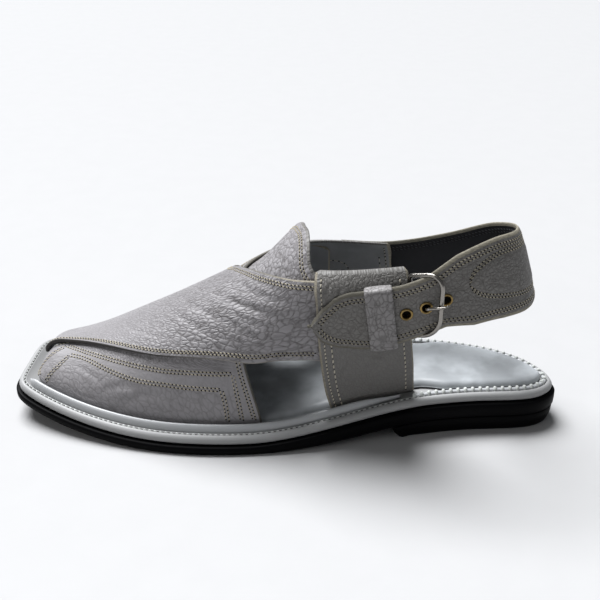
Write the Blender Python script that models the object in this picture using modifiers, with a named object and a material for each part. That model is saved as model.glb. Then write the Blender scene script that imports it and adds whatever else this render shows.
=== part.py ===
"""Peshawari chappal, left shoe: crossed leather straps on a stitched sole, with a buckled heel strap.

Metres, +Z up. The toe points to -X, the outer (buckle) side of the foot is -Y, and the sole stands on z = 0.
Distances along the shoe are shares of LENGTH counted from the toe tip of the midsole. A girth share runs
over the last from the foot line of the outer side (0) over the ridge (0.5) to that of the inner side (1).
"""
import math

import bmesh
import bpy
import numpy as np
from mathutils import Vector

# Driving dimensions of the sole
LENGTH = 0.300
BALL_WIDTH = 0.1096
TOE_SPRING = 0.0106
HEEL_PITCH = 0.0132
OUTSOLE_THICKNESS = 0.0048
WAIST_GROWTH = 0.0034
OUTSOLE_EDGE = 0.0026
MIDSOLE_THICKNESS = 0.0052
MIDSOLE_ROUND = 0.0014
LEDGE_WIDTH = 0.0036
RAND_WIDTH = 0.0050
RAND_HEIGHT = 0.0040
INSOLE_THICKNESS = 0.0034
INSOLE_RIM = 0.0064
INSOLE_TOE = 0.0070
HEEL_UNDERCUT = 0.0018
HEEL_BREAST_SLOPE = 0.0040
EDGE_ROUND = 0.0012

# Driving dimensions of the upper
INSTEP_HEIGHT = 0.1057
LEATHER = 0.0020
TONGUE_LEATHER = 0.0016
CROSSING_RISE = 0.0015
LIP_RISE = 0.0018
PANEL_RISE = 0.0023
OUTER_PANEL_TOP = 0.0985
INNER_PANEL_TOP = 0.0880
HEEL_STRAP_LEATHER = 0.0026
HEEL_STRAP_WIDTH = 0.0385
HEEL_STRAP_HEIGHT = 0.0917
KEEPER_WIDTH = 0.0128
KEEPER_LEATHER = 0.0014
WIRE = 0.0024
PRONG_WIRE = 0.0018
FRAME_HEIGHT = 0.0342
FRAME_ROUND = 0.0092
PIVOT_ROUND = 0.0015
PIVOT_DROP = 0.0056
BAR_LIFT = 0.0017
PRONG_OVERHANG = 0.0030
EYELET_RADIUS = 0.0033
EYELET_BORE = 0.0016
EYELET_WALL = 0.0004
EYELET_FLANGE = 0.0005
EYELET_PITCH = 0.0096
CLEARANCE = 0.0003
FOOT_CLEARANCE = 0.0002

# Shares of the sizes above
SHARES = {
    "fastening_width": 0.80,
    "keeper_upright": 0.70,
    "widest_seat": 0.70,
    "seat_growth": 0.12,
    "insole_edge": 0.55,
    "heel_middle": 0.15,
    "heel_middle_slope": 0.40,
    "rand_tip": 0.35,
    "midsole_bulge": 0.33,
    "last_reach": 0.002,
    "breast_margin": 0.017,
}

# Steps of the grids and turned pieces
STATIONS = 44
FINE_STATIONS = 96
INSOLE_STATIONS = 40
STRAP_STEPS = 30
STRAP_ROWS = 14
PANEL_STEPS = 12
PANEL_ROWS = 8
TONGUE_STEPS = 20
TONGUE_ROWS = 8
HEEL_STRAP_STEPS = 72
ROUND_STEPS = 16
CORNER_STEPS = 6
SHARP_ANGLE = math.radians(40)
MERGE_DISTANCE = 1e-6
GIRTH_STEP = 4e-3

# Worked out from the sizes above
FASTENING_WIDTH = HEEL_STRAP_WIDTH * SHARES["fastening_width"]
BUCKLE_RISE = WIRE + PRONG_WIRE + EYELET_FLANGE + 2 * CLEARANCE
HALF_BALL = BALL_WIDTH / 2
FOOT_INSET = LEDGE_WIDTH + RAND_WIDTH + CLEARANCE + LEATHER + FOOT_CLEARANCE
INSOLE_INSET = FOOT_INSET + CLEARANCE

# Outline of the midsole: share of the length angle, half width and centre line as shares of HALF_BALL
OUTLINE = (
    (0.00, 0.942, 0.062),
    (0.12, 0.922, 0.100),
    (0.25, 0.975, 0.066),
    (0.37, 1.000, 0.024),
    (0.50, 0.869, -0.007),
    (0.62, 0.715, 0.035),
    (0.75, 0.678, 0.060),
    (0.88, 0.787, -0.051),
    (1.00, 0.799, -0.128),
)
# Power of the sine that rounds the outline off at the toe and at the heel
BLUNTNESS = (0.42, 1.05)

# Profile of the sole: where each change starts and ends, as shares of LENGTH
TOE_LIFT_SPAN = (0.0, 0.309)
PITCH_SPAN = (0.433, 0.783)
WAIST_SPAN = (0.433, 0.667)

# Sections of the last: place along the shoe, ridge height as a share of INSTEP_HEIGHT, squareness of the
# section, and how far the sides lean out and the ridge lies off the axis, as shares of HALF_BALL
LAST = (
    # place, ridge, square, lean_outer, lean_inner, ridge_y
    (0.037, 0.020, 2.00, 0.000, 0.000, 0.110),
    (0.053, 0.095, 2.00, 0.000, 0.000, 0.110),
    (0.083, 0.153, 2.00, 0.000, 0.000, 0.110),
    (0.150, 0.243, 2.00, 0.000, 0.000, 0.091),
    (0.230, 0.368, 2.10, 0.000, 0.000, 0.073),
    (0.307, 0.484, 2.15, 0.000, 0.000, 0.055),
    (0.377, 0.593, 2.20, 0.000, 0.000, 0.037),
    (0.420, 0.659, 2.30, 0.009, 0.004, 0.037),
    (0.460, 0.734, 2.40, 0.027, 0.013, 0.037),
    (0.493, 0.823, 2.60, 0.046, 0.018, 0.037),
    (0.527, 0.910, 2.80, 0.073, 0.029, 0.037),
    (0.567, 0.964, 3.30, 0.100, 0.044, 0.027),
    (0.633, 0.957, 4.00, 0.128, 0.055, 0.027),
    (0.767, 0.900, 4.00, 0.128, 0.055, 0.027),
)

# Edges of a crossed strap from its own foot line to the far panel: place and girth share of the front edge,
# then of the rear edge
UNDER_STRAP = (
    # share, front_x, front_g, rear_x, rear_g
    (0.00, 0.060, 0.000, 0.465, 0.000),
    (0.10, 0.043, 0.100, 0.449, 0.080),
    (0.20, 0.039, 0.240, 0.438, 0.150),
    (0.30, 0.039, 0.350, 0.428, 0.240),
    (0.40, 0.045, 0.440, 0.418, 0.340),
    (0.50, 0.075, 0.455, 0.411, 0.420),
    (0.60, 0.125, 0.540, 0.423, 0.480),
    (0.70, 0.240, 0.700, 0.440, 0.555),
    (0.80, 0.350, 0.785, 0.478, 0.665),
    (0.90, 0.467, 0.862, 0.528, 0.765),
    (1.00, 0.580, 0.955, 0.580, 0.845),
)
OVER_STRAP = (
    # share, front_x, front_g, rear_x, rear_g
    (0.00, 0.060, 0.000, 0.465, 0.000),
    (0.10, 0.043, 0.100, 0.449, 0.080),
    (0.20, 0.039, 0.240, 0.438, 0.150),
    (0.30, 0.039, 0.360, 0.428, 0.240),
    (0.40, 0.043, 0.470, 0.418, 0.340),
    (0.50, 0.060, 0.530, 0.411, 0.420),
    (0.60, 0.120, 0.585, 0.423, 0.480),
    (0.70, 0.240, 0.714, 0.449, 0.545),
    (0.80, 0.350, 0.787, 0.485, 0.637),
    (0.90, 0.467, 0.862, 0.528, 0.723),
    (1.00, 0.580, 0.955, 0.585, 0.790),
)

# The over strap climbs onto the under strap by girth and comes down by place and girth before its panel. Its
# lip grows and fades by share, and reaches LIP_SPAN across the strap
CLIMB_SPAN = (0.06, 0.30)
DESCENT_PLACES = (0.43, 0.54)
DESCENT_GIRTHS = (0.50, 0.65)
LIP_GROWS = (0.35, 0.50)
LIP_FADES = (0.55, 0.95)
LIP_SPAN = (0.0, 0.35)

# Rear edge of the tongue: girth share and place
TONGUE_EDGE = (
    (0.150, 0.583),
    (0.200, 0.575),
    (0.242, 0.562),
    (0.286, 0.550),
    (0.350, 0.545),
    (0.420, 0.543),
    (0.470, 0.539),
    (0.510, 0.531),
    (0.560, 0.523),
    (0.630, 0.519),
    (0.700, 0.513),
    (0.770, 0.508),
    (0.850, 0.507),
)

# Front and rear edge of an ankle panel: share of its height and the two places
OUTER_PANEL = (
    # height, front_x, rear_x
    (0.00, 0.594, 0.738),
    (0.15, 0.583, 0.734),
    (0.35, 0.574, 0.728),
    (0.60, 0.568, 0.720),
    (1.00, 0.566, 0.710),
)
INNER_PANEL = (
    # height, front_x, rear_x
    (0.00, 0.560, 0.720),
    (0.15, 0.545, 0.716),
    (0.35, 0.527, 0.710),
    (0.60, 0.505, 0.702),
    (1.00, 0.497, 0.690),
)
PANEL_LIFT_SPAN = (0.0, 0.30)

# Centre line of the heel strap from the inner panel round the heel to its tip: place and side as shares of
# LENGTH and HALF_BALL, height as a share of HEEL_STRAP_HEIGHT, lean of its width in degrees, width as a
# share of HEEL_STRAP_WIDTH, whether it is seated on a panel, whose face then gives its side, and how much of
# the buckle's height lies under it there
HEEL_STRAP = (
    # place, side, height, lean, width, seated, raised
    (0.605, 0.700, 0.764, 0.0, 0.74, 1, 0.0),
    (0.645, 0.700, 0.764, 0.0, 0.75, 1, 0.0),
    (0.685, 0.700, 0.766, 0.0, 0.77, 1, 0.0),
    (0.770, 0.633, 0.803, 7.0, 0.83, 0, 0.0),
    (0.847, 0.523, 0.873, 12.0, 0.92, 0, 0.0),
    (0.904, 0.297, 0.960, 16.0, 1.00, 0, 0.0),
    (0.928, 0.000, 1.007, 18.0, 1.01, 0, 0.0),
    (0.9135, -0.225, 1.016, 17.0, 1.02, 0, 0.0),
    (0.872, -0.425, 1.026, 14.0, 1.02, 0, 0.0),
    (0.810, -0.603, 0.995, 9.0, 0.93, 0, 0.0),
    (0.763, -0.660, 0.939, 1.0, 0.71, 0, 0.0),
    (0.7185, -0.690, 0.879, 0.0, 0.72, 1, 1.03),
    (0.680, -0.700, 0.844, 0.0, 0.77, 1, 0.55),
    (0.645, -0.700, 0.823, 0.0, 0.78, 1, 0.15),
    (0.621, -0.700, 0.821, 0.0, 0.75, 1, 0.0),
    (0.598, -0.700, 0.809, 0.0, 0.65, 1, 0.0),
    (0.5734, -0.700, 0.803, 0.0, 0.41, 1, 0.0),
    (0.557, -0.700, 0.804, 0.0, 0.05, 1, 0.0),
)

# Places along the shoe, as shares of LENGTH
PLACES = {
    "tongue_front": 0.385,
    "keeper": 0.672,
    "heel_breast": 0.700,
    "first_eyelet": 0.7135,
    "pivot": 0.7185,
    "bar": 0.7670,
}
RAND_OUTER_SPAN = (0.085, 0.655)
RAND_INNER_SPAN = (0.085, 0.640)
RAND_TAPER = (0.06, 0.10)
# Half round section of a rand: places across and up, as shares of its half width and height
RAND_PROFILE = ((-1, 0), (-1, 0.5), (-0.7, 0.86), (0, 1), (0.7, 0.86), (1, 0.5), (1, 0))
INSOLE_RIM_SPAN = (0.755, 0.810)
INSOLE_TOE_SPAN = (0.0, 0.120)

# Bends of the prong: side of the strap it lies on, then shifts outwards and forwards as shares of the bore
PRONG_BENDS = (
    # side, outwards, forwards
    (-1, 0.0, -1.3),
    (-1, 0.2, -0.4),
    (-1, 0.9, 0.0),
    (1, -0.7, 0.0),
    (1, 0.1, 0.5),
    (1, 0.5, 1.3),
)
# Degrees round the pivot bar where the prong's hook starts and ends
HOOK_TURN = (200, 92)


def spline(rows, column, t):
    """Natural cubic spline of one column of a table over its first column."""
    ts = np.array([row[0] for row in rows], dtype=float)
    vs = np.array([row[column] for row in rows], dtype=float)
    count = len(ts)
    step = np.diff(ts)
    matrix = np.eye(count)
    right = np.zeros(count)
    for i in range(1, count - 1):
        matrix[i, i - 1] = step[i - 1]
        matrix[i, i] = 2 * (step[i - 1] + step[i])
        matrix[i, i + 1] = step[i]
        right[i] = 6 * ((vs[i + 1] - vs[i]) / step[i] - (vs[i] - vs[i - 1]) / step[i - 1])
    bend = np.linalg.solve(matrix, right)
    t = np.clip(np.asarray(t, dtype=float), ts[0], ts[-1])
    k = np.clip(np.searchsorted(ts, t, side="right") - 1, 0, count - 2)
    before = t - ts[k]
    after = ts[k + 1] - t
    width = step[k]
    value = bend[k] * after**3 / (6 * width) + bend[k + 1] * before**3 / (6 * width)
    value += (vs[k] / width - bend[k] * width / 6) * after
    value += (vs[k + 1] / width - bend[k + 1] * width / 6) * before
    return value


def smooth_step(value, start, end):
    """0 before start, 1 after end, with level ends."""
    u = np.clip((np.asarray(value, dtype=float) - start) / (end - start), 0, 1)
    return u * u * (3 - 2 * u)


def outline(offset, stations=STATIONS):
    """Closed plan outline of the midsole moved out by offset: outer side to the heel, then back inside."""
    t = np.linspace(0, 1, stations + 1)
    power = BLUNTNESS[0] + (BLUNTNESS[1] - BLUNTNESS[0]) * t
    half = HALF_BALL * spline(OUTLINE, 1, t) * np.clip(np.sin(np.pi * t), 0, None) ** power
    centre = HALF_BALL * spline(OUTLINE, 2, t)
    x = LENGTH * (1 - np.cos(np.pi * t)) / 2
    outer = np.column_stack([x, centre - half])
    inner = np.column_stack([x, centre + half])[::-1][1:-1]
    ring = np.vstack([outer, inner])
    along = np.roll(ring, -1, 0) - np.roll(ring, 1, 0)
    normal = np.column_stack([along[:, 1], -along[:, 0]])
    normal /= np.linalg.norm(normal, axis=1)[:, None]
    return ring + np.asarray(offset).reshape(-1, 1) * normal


def along_shoe(x, span):
    """Smooth step between the two places of a span."""
    return smooth_step(x / LENGTH, *span)


def lift(x):
    """How far the sole rises at the toe and to the heel."""
    toe = TOE_SPRING * np.clip(1 - x / (TOE_LIFT_SPAN[1] * LENGTH), 0, None) ** 2
    return toe + HEEL_PITCH * along_shoe(x, PITCH_SPAN)


def outsole_bottom(x):
    """Lower face of the outsole, which thickens through the waist."""
    return lift(x) - WAIST_GROWTH * along_shoe(x, WAIST_SPAN)


def midsole_bottom(x):
    """Lower face of the midsole."""
    return lift(x) + OUTSOLE_THICKNESS + CLEARANCE


def deck(x):
    """Upper face of the midsole, on which the upper stands."""
    return midsole_bottom(x) + MIDSOLE_THICKNESS


def side_line(offset, inner):
    """One side of an inset outline as rising x and y."""
    ring = outline(offset, FINE_STATIONS)
    half = len(ring) // 2
    if inner:
        points = np.vstack([ring[:1], ring[half:][::-1]])
    else:
        points = ring[: half + 1]
    points = points[points[:, 0].argmin():]
    xs = [points[0, 0]]
    ys = [points[0, 1]]
    for x, y in points[1:]:
        if x > xs[-1] + MERGE_DISTANCE:
            xs.append(x)
            ys.append(y)
    return np.array(xs), np.array(ys)


FOOT_OUTER = side_line(-FOOT_INSET, False)
FOOT_INNER = side_line(-FOOT_INSET, True)


def last_point(x, girth):
    """Point of the last: a superellipse between the two foot lines, leaning out towards the ankle."""
    place = x / LENGTH
    ridge = spline(LAST, 1, place) * INSTEP_HEIGHT
    square = spline(LAST, 2, place)
    lean_outer = spline(LAST, 3, place) * HALF_BALL
    lean_inner = spline(LAST, 4, place) * HALF_BALL
    ridge_y = spline(LAST, 5, place) * HALF_BALL
    outer = np.interp(x, *FOOT_OUTER)
    inner = np.interp(x, *FOOT_INNER)
    angle = np.pi * girth
    across = np.cos(angle)
    rise = np.clip(np.sin(angle), 1e-9, None) ** (2 / square)
    width = np.where(across > 0, ridge_y - outer, inner - ridge_y)
    lean = np.where(across > 0, lean_outer, lean_inner)
    y = ridge_y - width * np.sign(across) * np.abs(across) ** (2 / square) - lean * np.sin(2 * angle)
    return np.stack([x, y, deck(x) + CLEARANCE + ridge * rise], axis=-1)


def on_last(x, girth, rise=0.0):
    """Point at a distance outside the last, along its normal."""
    x, girth, rise = np.broadcast_arrays(
        np.asarray(x, dtype=float), np.asarray(girth, dtype=float), np.asarray(rise, dtype=float)
    )
    reach = LENGTH * SHARES["last_reach"]
    turn = GIRTH_STEP
    along = last_point(x + reach, girth) - last_point(x - reach, girth)
    over = last_point(x, np.clip(girth + turn, 0, 1)) - last_point(x, np.clip(girth - turn, 0, 1))
    normal = np.cross(along, over)
    normal /= np.linalg.norm(normal, axis=-1, keepdims=True)
    return last_point(x, girth) + rise[..., None] * normal


def girth_at(x, height):
    """Girth share of the outer side of the last at a height above the deck."""
    place = x / LENGTH
    share = np.clip(height / (spline(LAST, 1, place) * INSTEP_HEIGHT), 0, 1)
    return np.arcsin(share ** (spline(LAST, 2, place) / 2)) / np.pi


def strap_surface(rows, inner, rises_over):
    """Grid of a crossed strap: along from its own foot, across from the front edge to the rear edge."""
    share = np.linspace(0, 1, STRAP_STEPS + 1)[:, None]
    across = np.linspace(0, 1, STRAP_ROWS + 1)[None, :]
    x = LENGTH * (spline(rows, 1, share) * (1 - across) + spline(rows, 3, share) * across)
    girth = np.clip(spline(rows, 2, share) * (1 - across) + spline(rows, 4, share) * across, 0, 1)
    rise = 0.0
    if rises_over:
        up = smooth_step(girth, *CLIMB_SPAN)
        down = 1 - along_shoe(x, DESCENT_PLACES) * smooth_step(girth, *DESCENT_GIRTHS)
        lip = smooth_step(share, *LIP_GROWS) * (1 - smooth_step(share, *LIP_FADES))
        rise = CROSSING_RISE * up * down + LIP_RISE * lip * (1 - smooth_step(across, *LIP_SPAN))
    if inner:
        girth = 1 - girth
    return on_last(x, girth, rise)


def panel_surface(rows, top, inner):
    """Grid of an ankle panel: up from the foot line to a level top, across from front to rear."""
    up = np.linspace(0, 1, PANEL_STEPS + 1)[:, None]
    across = np.linspace(0, 1, PANEL_ROWS + 1)[None, :]
    x = LENGTH * (spline(rows, 1, up) * (1 - across) + spline(rows, 2, up) * across)
    girth = girth_at(x, up * (top - deck(x)))
    if inner:
        girth = 1 - girth
    return on_last(x, girth, PANEL_RISE * smooth_step(up, *PANEL_LIFT_SPAN))


def tongue_surface():
    """Grid of the tongue: girth by place, below both straps."""
    girth = np.linspace(TONGUE_EDGE[0][0], TONGUE_EDGE[-1][0], TONGUE_STEPS + 1)[:, None]
    share = np.linspace(0, 1, TONGUE_ROWS + 1)[None, :]
    x = LENGTH * (PLACES["tongue_front"] * (1 - share) + spline(TONGUE_EDGE, 1, girth) * share)
    return on_last(x, girth, -CLEARANCE - TONGUE_LEATHER)


def material(name, colour, roughness, metallic=0.0):
    """Principled material."""
    made = bpy.data.materials.new(name)
    made.use_nodes = True
    shader = made.node_tree.nodes["Principled BSDF"]
    shader.inputs["Base Color"].default_value = (*colour, 1.0)
    shader.inputs["Roughness"].default_value = roughness
    shader.inputs["Metallic"].default_value = metallic
    made.diffuse_color = (*colour, 1.0)
    return made


def centred(points):
    """Shift from shoe coordinates to the origin under the middle of the shoe."""
    return np.asarray(points, dtype=float).reshape(-1, 3) - ORIGIN


def put(name, points, faces, finish):
    """Object from points and faces, with its faces turned outwards."""
    mesh = bpy.data.meshes.new(name)
    mesh.from_pydata([tuple(p) for p in centred(points)], [], faces)
    work = bmesh.new()
    work.from_mesh(mesh)
    bmesh.ops.remove_doubles(work, verts=work.verts, dist=MERGE_DISTANCE)
    bmesh.ops.recalc_face_normals(work, faces=work.faces)
    work.to_mesh(mesh)
    work.free()
    mesh.shade_smooth()
    mesh.set_sharp_from_angle(angle=SHARP_ANGLE)
    made = bpy.data.objects.new(name, mesh)
    made.data.materials.append(finish)
    CHAPPAL.objects.link(made)
    return made


def stacked(name, rings, finish):
    """Solid from rings one above the other, each closed by rungs from one side to the other."""
    count = len(rings[0])
    half = count // 2
    points = np.vstack(rings)
    faces = []
    for level in range(len(rings) - 1):
        for i in range(count):
            j = (i + 1) % count
            low = level * count
            high = low + count
            faces.append((low + i, low + j, high + j, high + i))
    for low in (0, (len(rings) - 1) * count):
        for i in range(half):
            near = low + i
            far = low + (count - i) % count
            after = low + (count - i - 1) % count
            rung = [near, near + 1, after, far]
            faces.append(tuple(dict.fromkeys(rung)))
    return put(name, points, faces, finish)


def ring_at(offset, height):
    """Ring of an offset outline with heights from a function of x."""
    ring = outline(offset)
    return np.column_stack([ring, height(ring[:, 0])])


def leather_sheet(name, grid, thickness, finish):
    """Leather cut to a grid on the last, thickened outwards."""
    rows, columns = grid.shape[:2]
    index = np.arange(rows * columns).reshape(rows, columns)
    quads = np.stack([index[:-1, :-1], index[:-1, 1:], index[1:, 1:], index[1:, :-1]], -1).reshape(-1, 4)
    mesh = bpy.data.meshes.new(name)
    mesh.from_pydata([tuple(p) for p in centred(grid)], [], quads.tolist())
    mesh.update()
    centre = centred([[LENGTH / 2, 0, INSTEP_HEIGHT / 3]])[0]
    out = sum((face.center - Vector(centre)).dot(face.normal) for face in mesh.polygons)
    if out < 0:
        mesh.flip_normals()
    mesh.shade_smooth()
    made = bpy.data.objects.new(name, mesh)
    made.data.materials.append(finish)
    CHAPPAL.objects.link(made)
    thick = made.modifiers.new("Leather", "SOLIDIFY")
    thick.thickness = thickness
    thick.offset = 1.0
    return made


def guide(made):
    """Move a cutter or helper out of the model."""
    CHAPPAL.objects.unlink(made)
    CUTTERS.objects.link(made)
    made.hide_render = True
    made.display_type = "WIRE"
    return made


def boolean(made, other, operation):
    """Exact Boolean with another object."""
    step = made.modifiers.new(operation.title(), "BOOLEAN")
    step.operation = operation
    step.solver = "EXACT"
    step.object = other


def swept(name, centres, widths, ups, sides, thickness, finish):
    """Flat strap carried along a line: a rectangle at each station, thickened to both sides."""
    points = []
    for centre, width, up, side in zip(centres, widths, ups, sides):
        for a, b in ((-1, -1), (1, -1), (1, 1), (-1, 1)):
            points.append(centre + up * a * width / 2 + side * b * thickness / 2)
    faces = [(0, 1, 2, 3)]
    count = len(centres)
    for s in range(count - 1):
        for i in range(4):
            j = (i + 1) % 4
            faces.append((4 * s + i, 4 * s + j, 4 * s + 4 + j, 4 * s + 4 + i))
    end = 4 * (count - 1)
    faces.append((end, end + 3, end + 2, end + 1))
    return put(name, points, faces, finish)


def wire(name, points, thickness, finish, closed):
    """Round wire along points."""
    curve = bpy.data.curves.new(name, "CURVE")
    curve.dimensions = "3D"
    curve.bevel_depth = thickness / 2
    curve.bevel_resolution = 2
    curve.use_fill_caps = not closed
    line = curve.splines.new("POLY")
    line.points.add(len(points) - 1)
    for point, place in zip(line.points, centred(points)):
        point.co = (*place, 1.0)
    line.use_cyclic_u = closed
    drawn = bpy.data.objects.new(name + "_line", curve)
    CHAPPAL.objects.link(drawn)
    seen = drawn.evaluated_get(bpy.context.evaluated_depsgraph_get())
    mesh = bpy.data.meshes.new_from_object(seen)
    bpy.data.objects.remove(drawn)
    work = bmesh.new()
    work.from_mesh(mesh)
    bmesh.ops.remove_doubles(work, verts=work.verts, dist=MERGE_DISTANCE)
    bmesh.ops.recalc_face_normals(work, faces=work.faces)
    work.to_mesh(mesh)
    work.free()
    mesh.name = name
    mesh.materials.clear()
    mesh.materials.append(finish)
    made = bpy.data.objects.new(name, mesh)
    CHAPPAL.objects.link(made)
    return made


def panel_face(place, height):
    """Side of the outer face of the outer ankle panel, or of its mirror image, at some heights."""
    x = np.full(len(height), place * LENGTH)
    girth = girth_at(x, height - deck(x))
    outer = on_last(x, girth, PANEL_RISE + LEATHER)[:, 1].min()
    inner = on_last(x, 1 - girth, PANEL_RISE + LEATHER)[:, 1].max()
    return outer, inner


def strap_knots():
    """Points of the heel strap's centre line with lean and width, each at its distance along the line."""
    rows = []
    for place, side, height, lean, width, seated, raised in HEEL_STRAP:
        z = height * HEEL_STRAP_HEIGHT
        y = side * HALF_BALL
        if seated:
            seat = min(width, SHARES["widest_seat"]) / 2 + SHARES["seat_growth"] * raised
            reach = seat * HEEL_STRAP_WIDTH
            outer, inner = panel_face(place, z + np.array([-reach, 0.0, reach]))
            stand_off = 2 * CLEARANCE + HEEL_STRAP_LEATHER / 2 + raised * BUCKLE_RISE
            y = outer - stand_off if side < 0 else inner + stand_off
        rows.append((place * LENGTH, y, z, lean, width * HEEL_STRAP_WIDTH))
    points = np.array([row[:3] for row in rows])
    steps = np.linalg.norm(np.diff(points, axis=0), axis=1)
    distance = np.concatenate([[0.0], np.cumsum(steps)]) / steps.sum()
    return [(d, *row) for d, row in zip(distance, rows)]


def strap_frames():
    """Centre line, width, width direction and outward direction of the heel strap at even steps."""
    knots = strap_knots()
    t = np.linspace(0, 1, HEEL_STRAP_STEPS + 1)
    centres = np.column_stack([spline(knots, column, t) for column in (1, 2, 3)])
    lean = np.radians(spline(knots, 4, t))[:, None]
    width = np.interp(t, [knot[0] for knot in knots], [knot[5] for knot in knots])
    along = np.gradient(centres, axis=0)
    along /= np.linalg.norm(along, axis=1)[:, None]
    out = np.cross([0, 0, 1.0], along)
    out /= np.linalg.norm(out, axis=1)[:, None]
    up = np.cross(along, out)
    up *= np.sign(up[:, 2:3])
    leaning = up * np.cos(lean) - out * np.sin(lean)
    side = out * np.cos(lean) + up * np.sin(lean)
    return centres, width, leaning, side


def between(centres, values, place):
    """A value of the outer leg of the heel strap, between its steps, at a place along the shoe."""
    half = len(centres) // 2
    return np.array([np.interp(-place * LENGTH, -centres[half:, 0], values[half:, i]) for i in range(3)])


def strap_place(centres, ups, sides, place):
    """Centre, width direction and outward direction of the heel strap at a place of its outer leg."""
    up = between(centres, ups, place)
    side = between(centres, sides, place)
    return between(centres, centres, place), up / np.linalg.norm(up), side / np.linalg.norm(side)


def heel_ring(offset, height, slope):
    """Ring of the heel block: the outline behind the breast, closed by a straight front."""
    base = outline(0.0)
    ring = outline(offset)
    half = len(ring) // 2
    breast = PLACES["heel_breast"] * LENGTH + slope
    margin = SHARES["breast_margin"] * LENGTH
    kept = base[:, 0] > PLACES["heel_breast"] * LENGTH + HEEL_BREAST_SLOPE + margin
    near = ring[: half + 1][kept[: half + 1]]
    far = ring[half + 1:][kept[half + 1:]]
    near_y = np.interp(breast, ring[: half + 1, 0], ring[: half + 1, 1])
    far_y = np.interp(breast, ring[half:, 0][::-1], ring[half:, 1][::-1])
    front = [[breast, (near_y + far_y) / 2], [breast, near_y]]
    plan = np.vstack([front, near, far, [[breast, far_y]]])
    return np.column_stack([plan, height(plan[:, 0])])


def insole_ring(extra, height):
    """Ring of the insole: both sides of the outline moved in, more at the toe and at the heel's rim."""
    x = outline(0.0, FINE_STATIONS)[:, 0]
    rim = along_shoe(x, INSOLE_RIM_SPAN)
    toe = 1 - along_shoe(x, INSOLE_TOE_SPAN)
    inset = INSOLE_INSET + (INSOLE_RIM - INSOLE_INSET) * rim + INSOLE_TOE * toe + extra
    outer_x, outer_y = side_line(-inset, False)
    inner_x, inner_y = side_line(-inset, True)
    start = max(outer_x[0], inner_x[0])
    end = min(outer_x[-1], inner_x[-1])
    x = start + (end - start) * (1 - np.cos(np.linspace(0, math.pi, INSOLE_STATIONS + 1))) / 2
    near = np.column_stack([x, np.interp(x, outer_x, outer_y)])
    far = np.column_stack([x, np.interp(x, inner_x, inner_y)])
    tips = (near[[0, -1]] + far[[0, -1]]) / 2
    plan = np.vstack([tips[:1], near[:-1], tips[1:], far[:-1][::-1]])
    return np.column_stack([plan, height(plan[:, 0])])


def rand(name, ends, inner):
    """Half-round strip on the ledge, tapering at both ends."""
    base = outline(-LEDGE_WIDTH - RAND_WIDTH / 2, FINE_STATIONS)
    half = len(base) // 2
    line = base[half:][::-1] if inner else base[: half + 1]
    first = int(ends[0] * half)
    last_step = int(ends[1] * half)
    path = line[first - inner: last_step + 1 - inner]
    along = np.gradient(path, axis=0)
    along /= np.linalg.norm(along, axis=1)[:, None]
    out = np.column_stack([-along[:, 1], along[:, 0]])
    share = np.linspace(0, 1, len(path))
    grown = np.minimum(smooth_step(share, 0, RAND_TAPER[0]), smooth_step(1 - share, 0, RAND_TAPER[1]))
    taper = SHARES["rand_tip"] + (1 - SHARES["rand_tip"]) * grown
    points = []
    for place, outward, size in zip(path, out, taper):
        for across, rise in RAND_PROFILE:
            x, y = place + outward * across * RAND_WIDTH / 2 * size
            points.append((x, y, deck(x) + CLEARANCE + rise * RAND_HEIGHT * size))
    count = len(RAND_PROFILE)
    faces = [tuple(range(count)), tuple(range(len(points) - count, len(points)))]
    for s in range(len(path) - 1):
        for i in range(count):
            j = (i + 1) % count
            faces.append((count * s + i, count * s + j, count * (s + 1) + j, count * (s + 1) + i))
    return put(name, points, faces, RAND_FINISH)


def turned(name, frame, profile, finish):
    """Ring turned about the strap's outward direction from a closed profile of radius and height."""
    centre, up, side = frame
    across = np.cross(up, side)
    steps = ROUND_STEPS
    points = []
    for s in range(steps):
        angle = 2 * math.pi * s / steps
        ray = up * math.cos(angle) + across * math.sin(angle)
        for radius, height in profile:
            points.append(centre + ray * radius + side * height)
    count = len(profile)
    faces = []
    for s in range(steps):
        after = (s + 1) % steps
        for i in range(count):
            j = (i + 1) % count
            faces.append((count * s + i, count * s + j, count * after + j, count * after + i))
    return put(name, points, faces, finish)


def punch(name, frame, radius):
    """Cutter for a hole through the strap."""
    centre, up, side = frame
    across = np.cross(up, side)
    steps = ROUND_STEPS
    reach = HEEL_STRAP_LEATHER * 2
    points = []
    for height in (-reach, reach):
        for s in range(steps):
            angle = 2 * math.pi * s / steps
            ray = up * math.cos(angle) + across * math.sin(angle)
            points.append(centre + ray * radius + side * height)
    faces = [tuple(range(steps)), tuple(range(steps, 2 * steps))]
    for s in range(steps):
        after = (s + 1) % steps
        faces.append((s, after, steps + after, steps + s))
    return guide(put(name, points, faces, STRAP_FINISH))


def eyelet(name, frame, finish):
    """Brass eyelet: a barrel through the strap with a rolled flange on both faces."""
    barrel = EYELET_BORE + EYELET_WALL
    face = HEEL_STRAP_LEATHER / 2 + CLEARANCE
    top = face + EYELET_FLANGE
    crown = (barrel + EYELET_RADIUS) / 2
    turned(name, frame, [
        (EYELET_BORE, -top), (barrel + EYELET_WALL, -top), (barrel + EYELET_WALL, -face), (barrel, -face),
        (barrel, face), (EYELET_RADIUS, face), (EYELET_RADIUS, face + EYELET_FLANGE / 2),
        (crown, top + EYELET_FLANGE / 2), (EYELET_BORE, top),
    ], finish)


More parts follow.
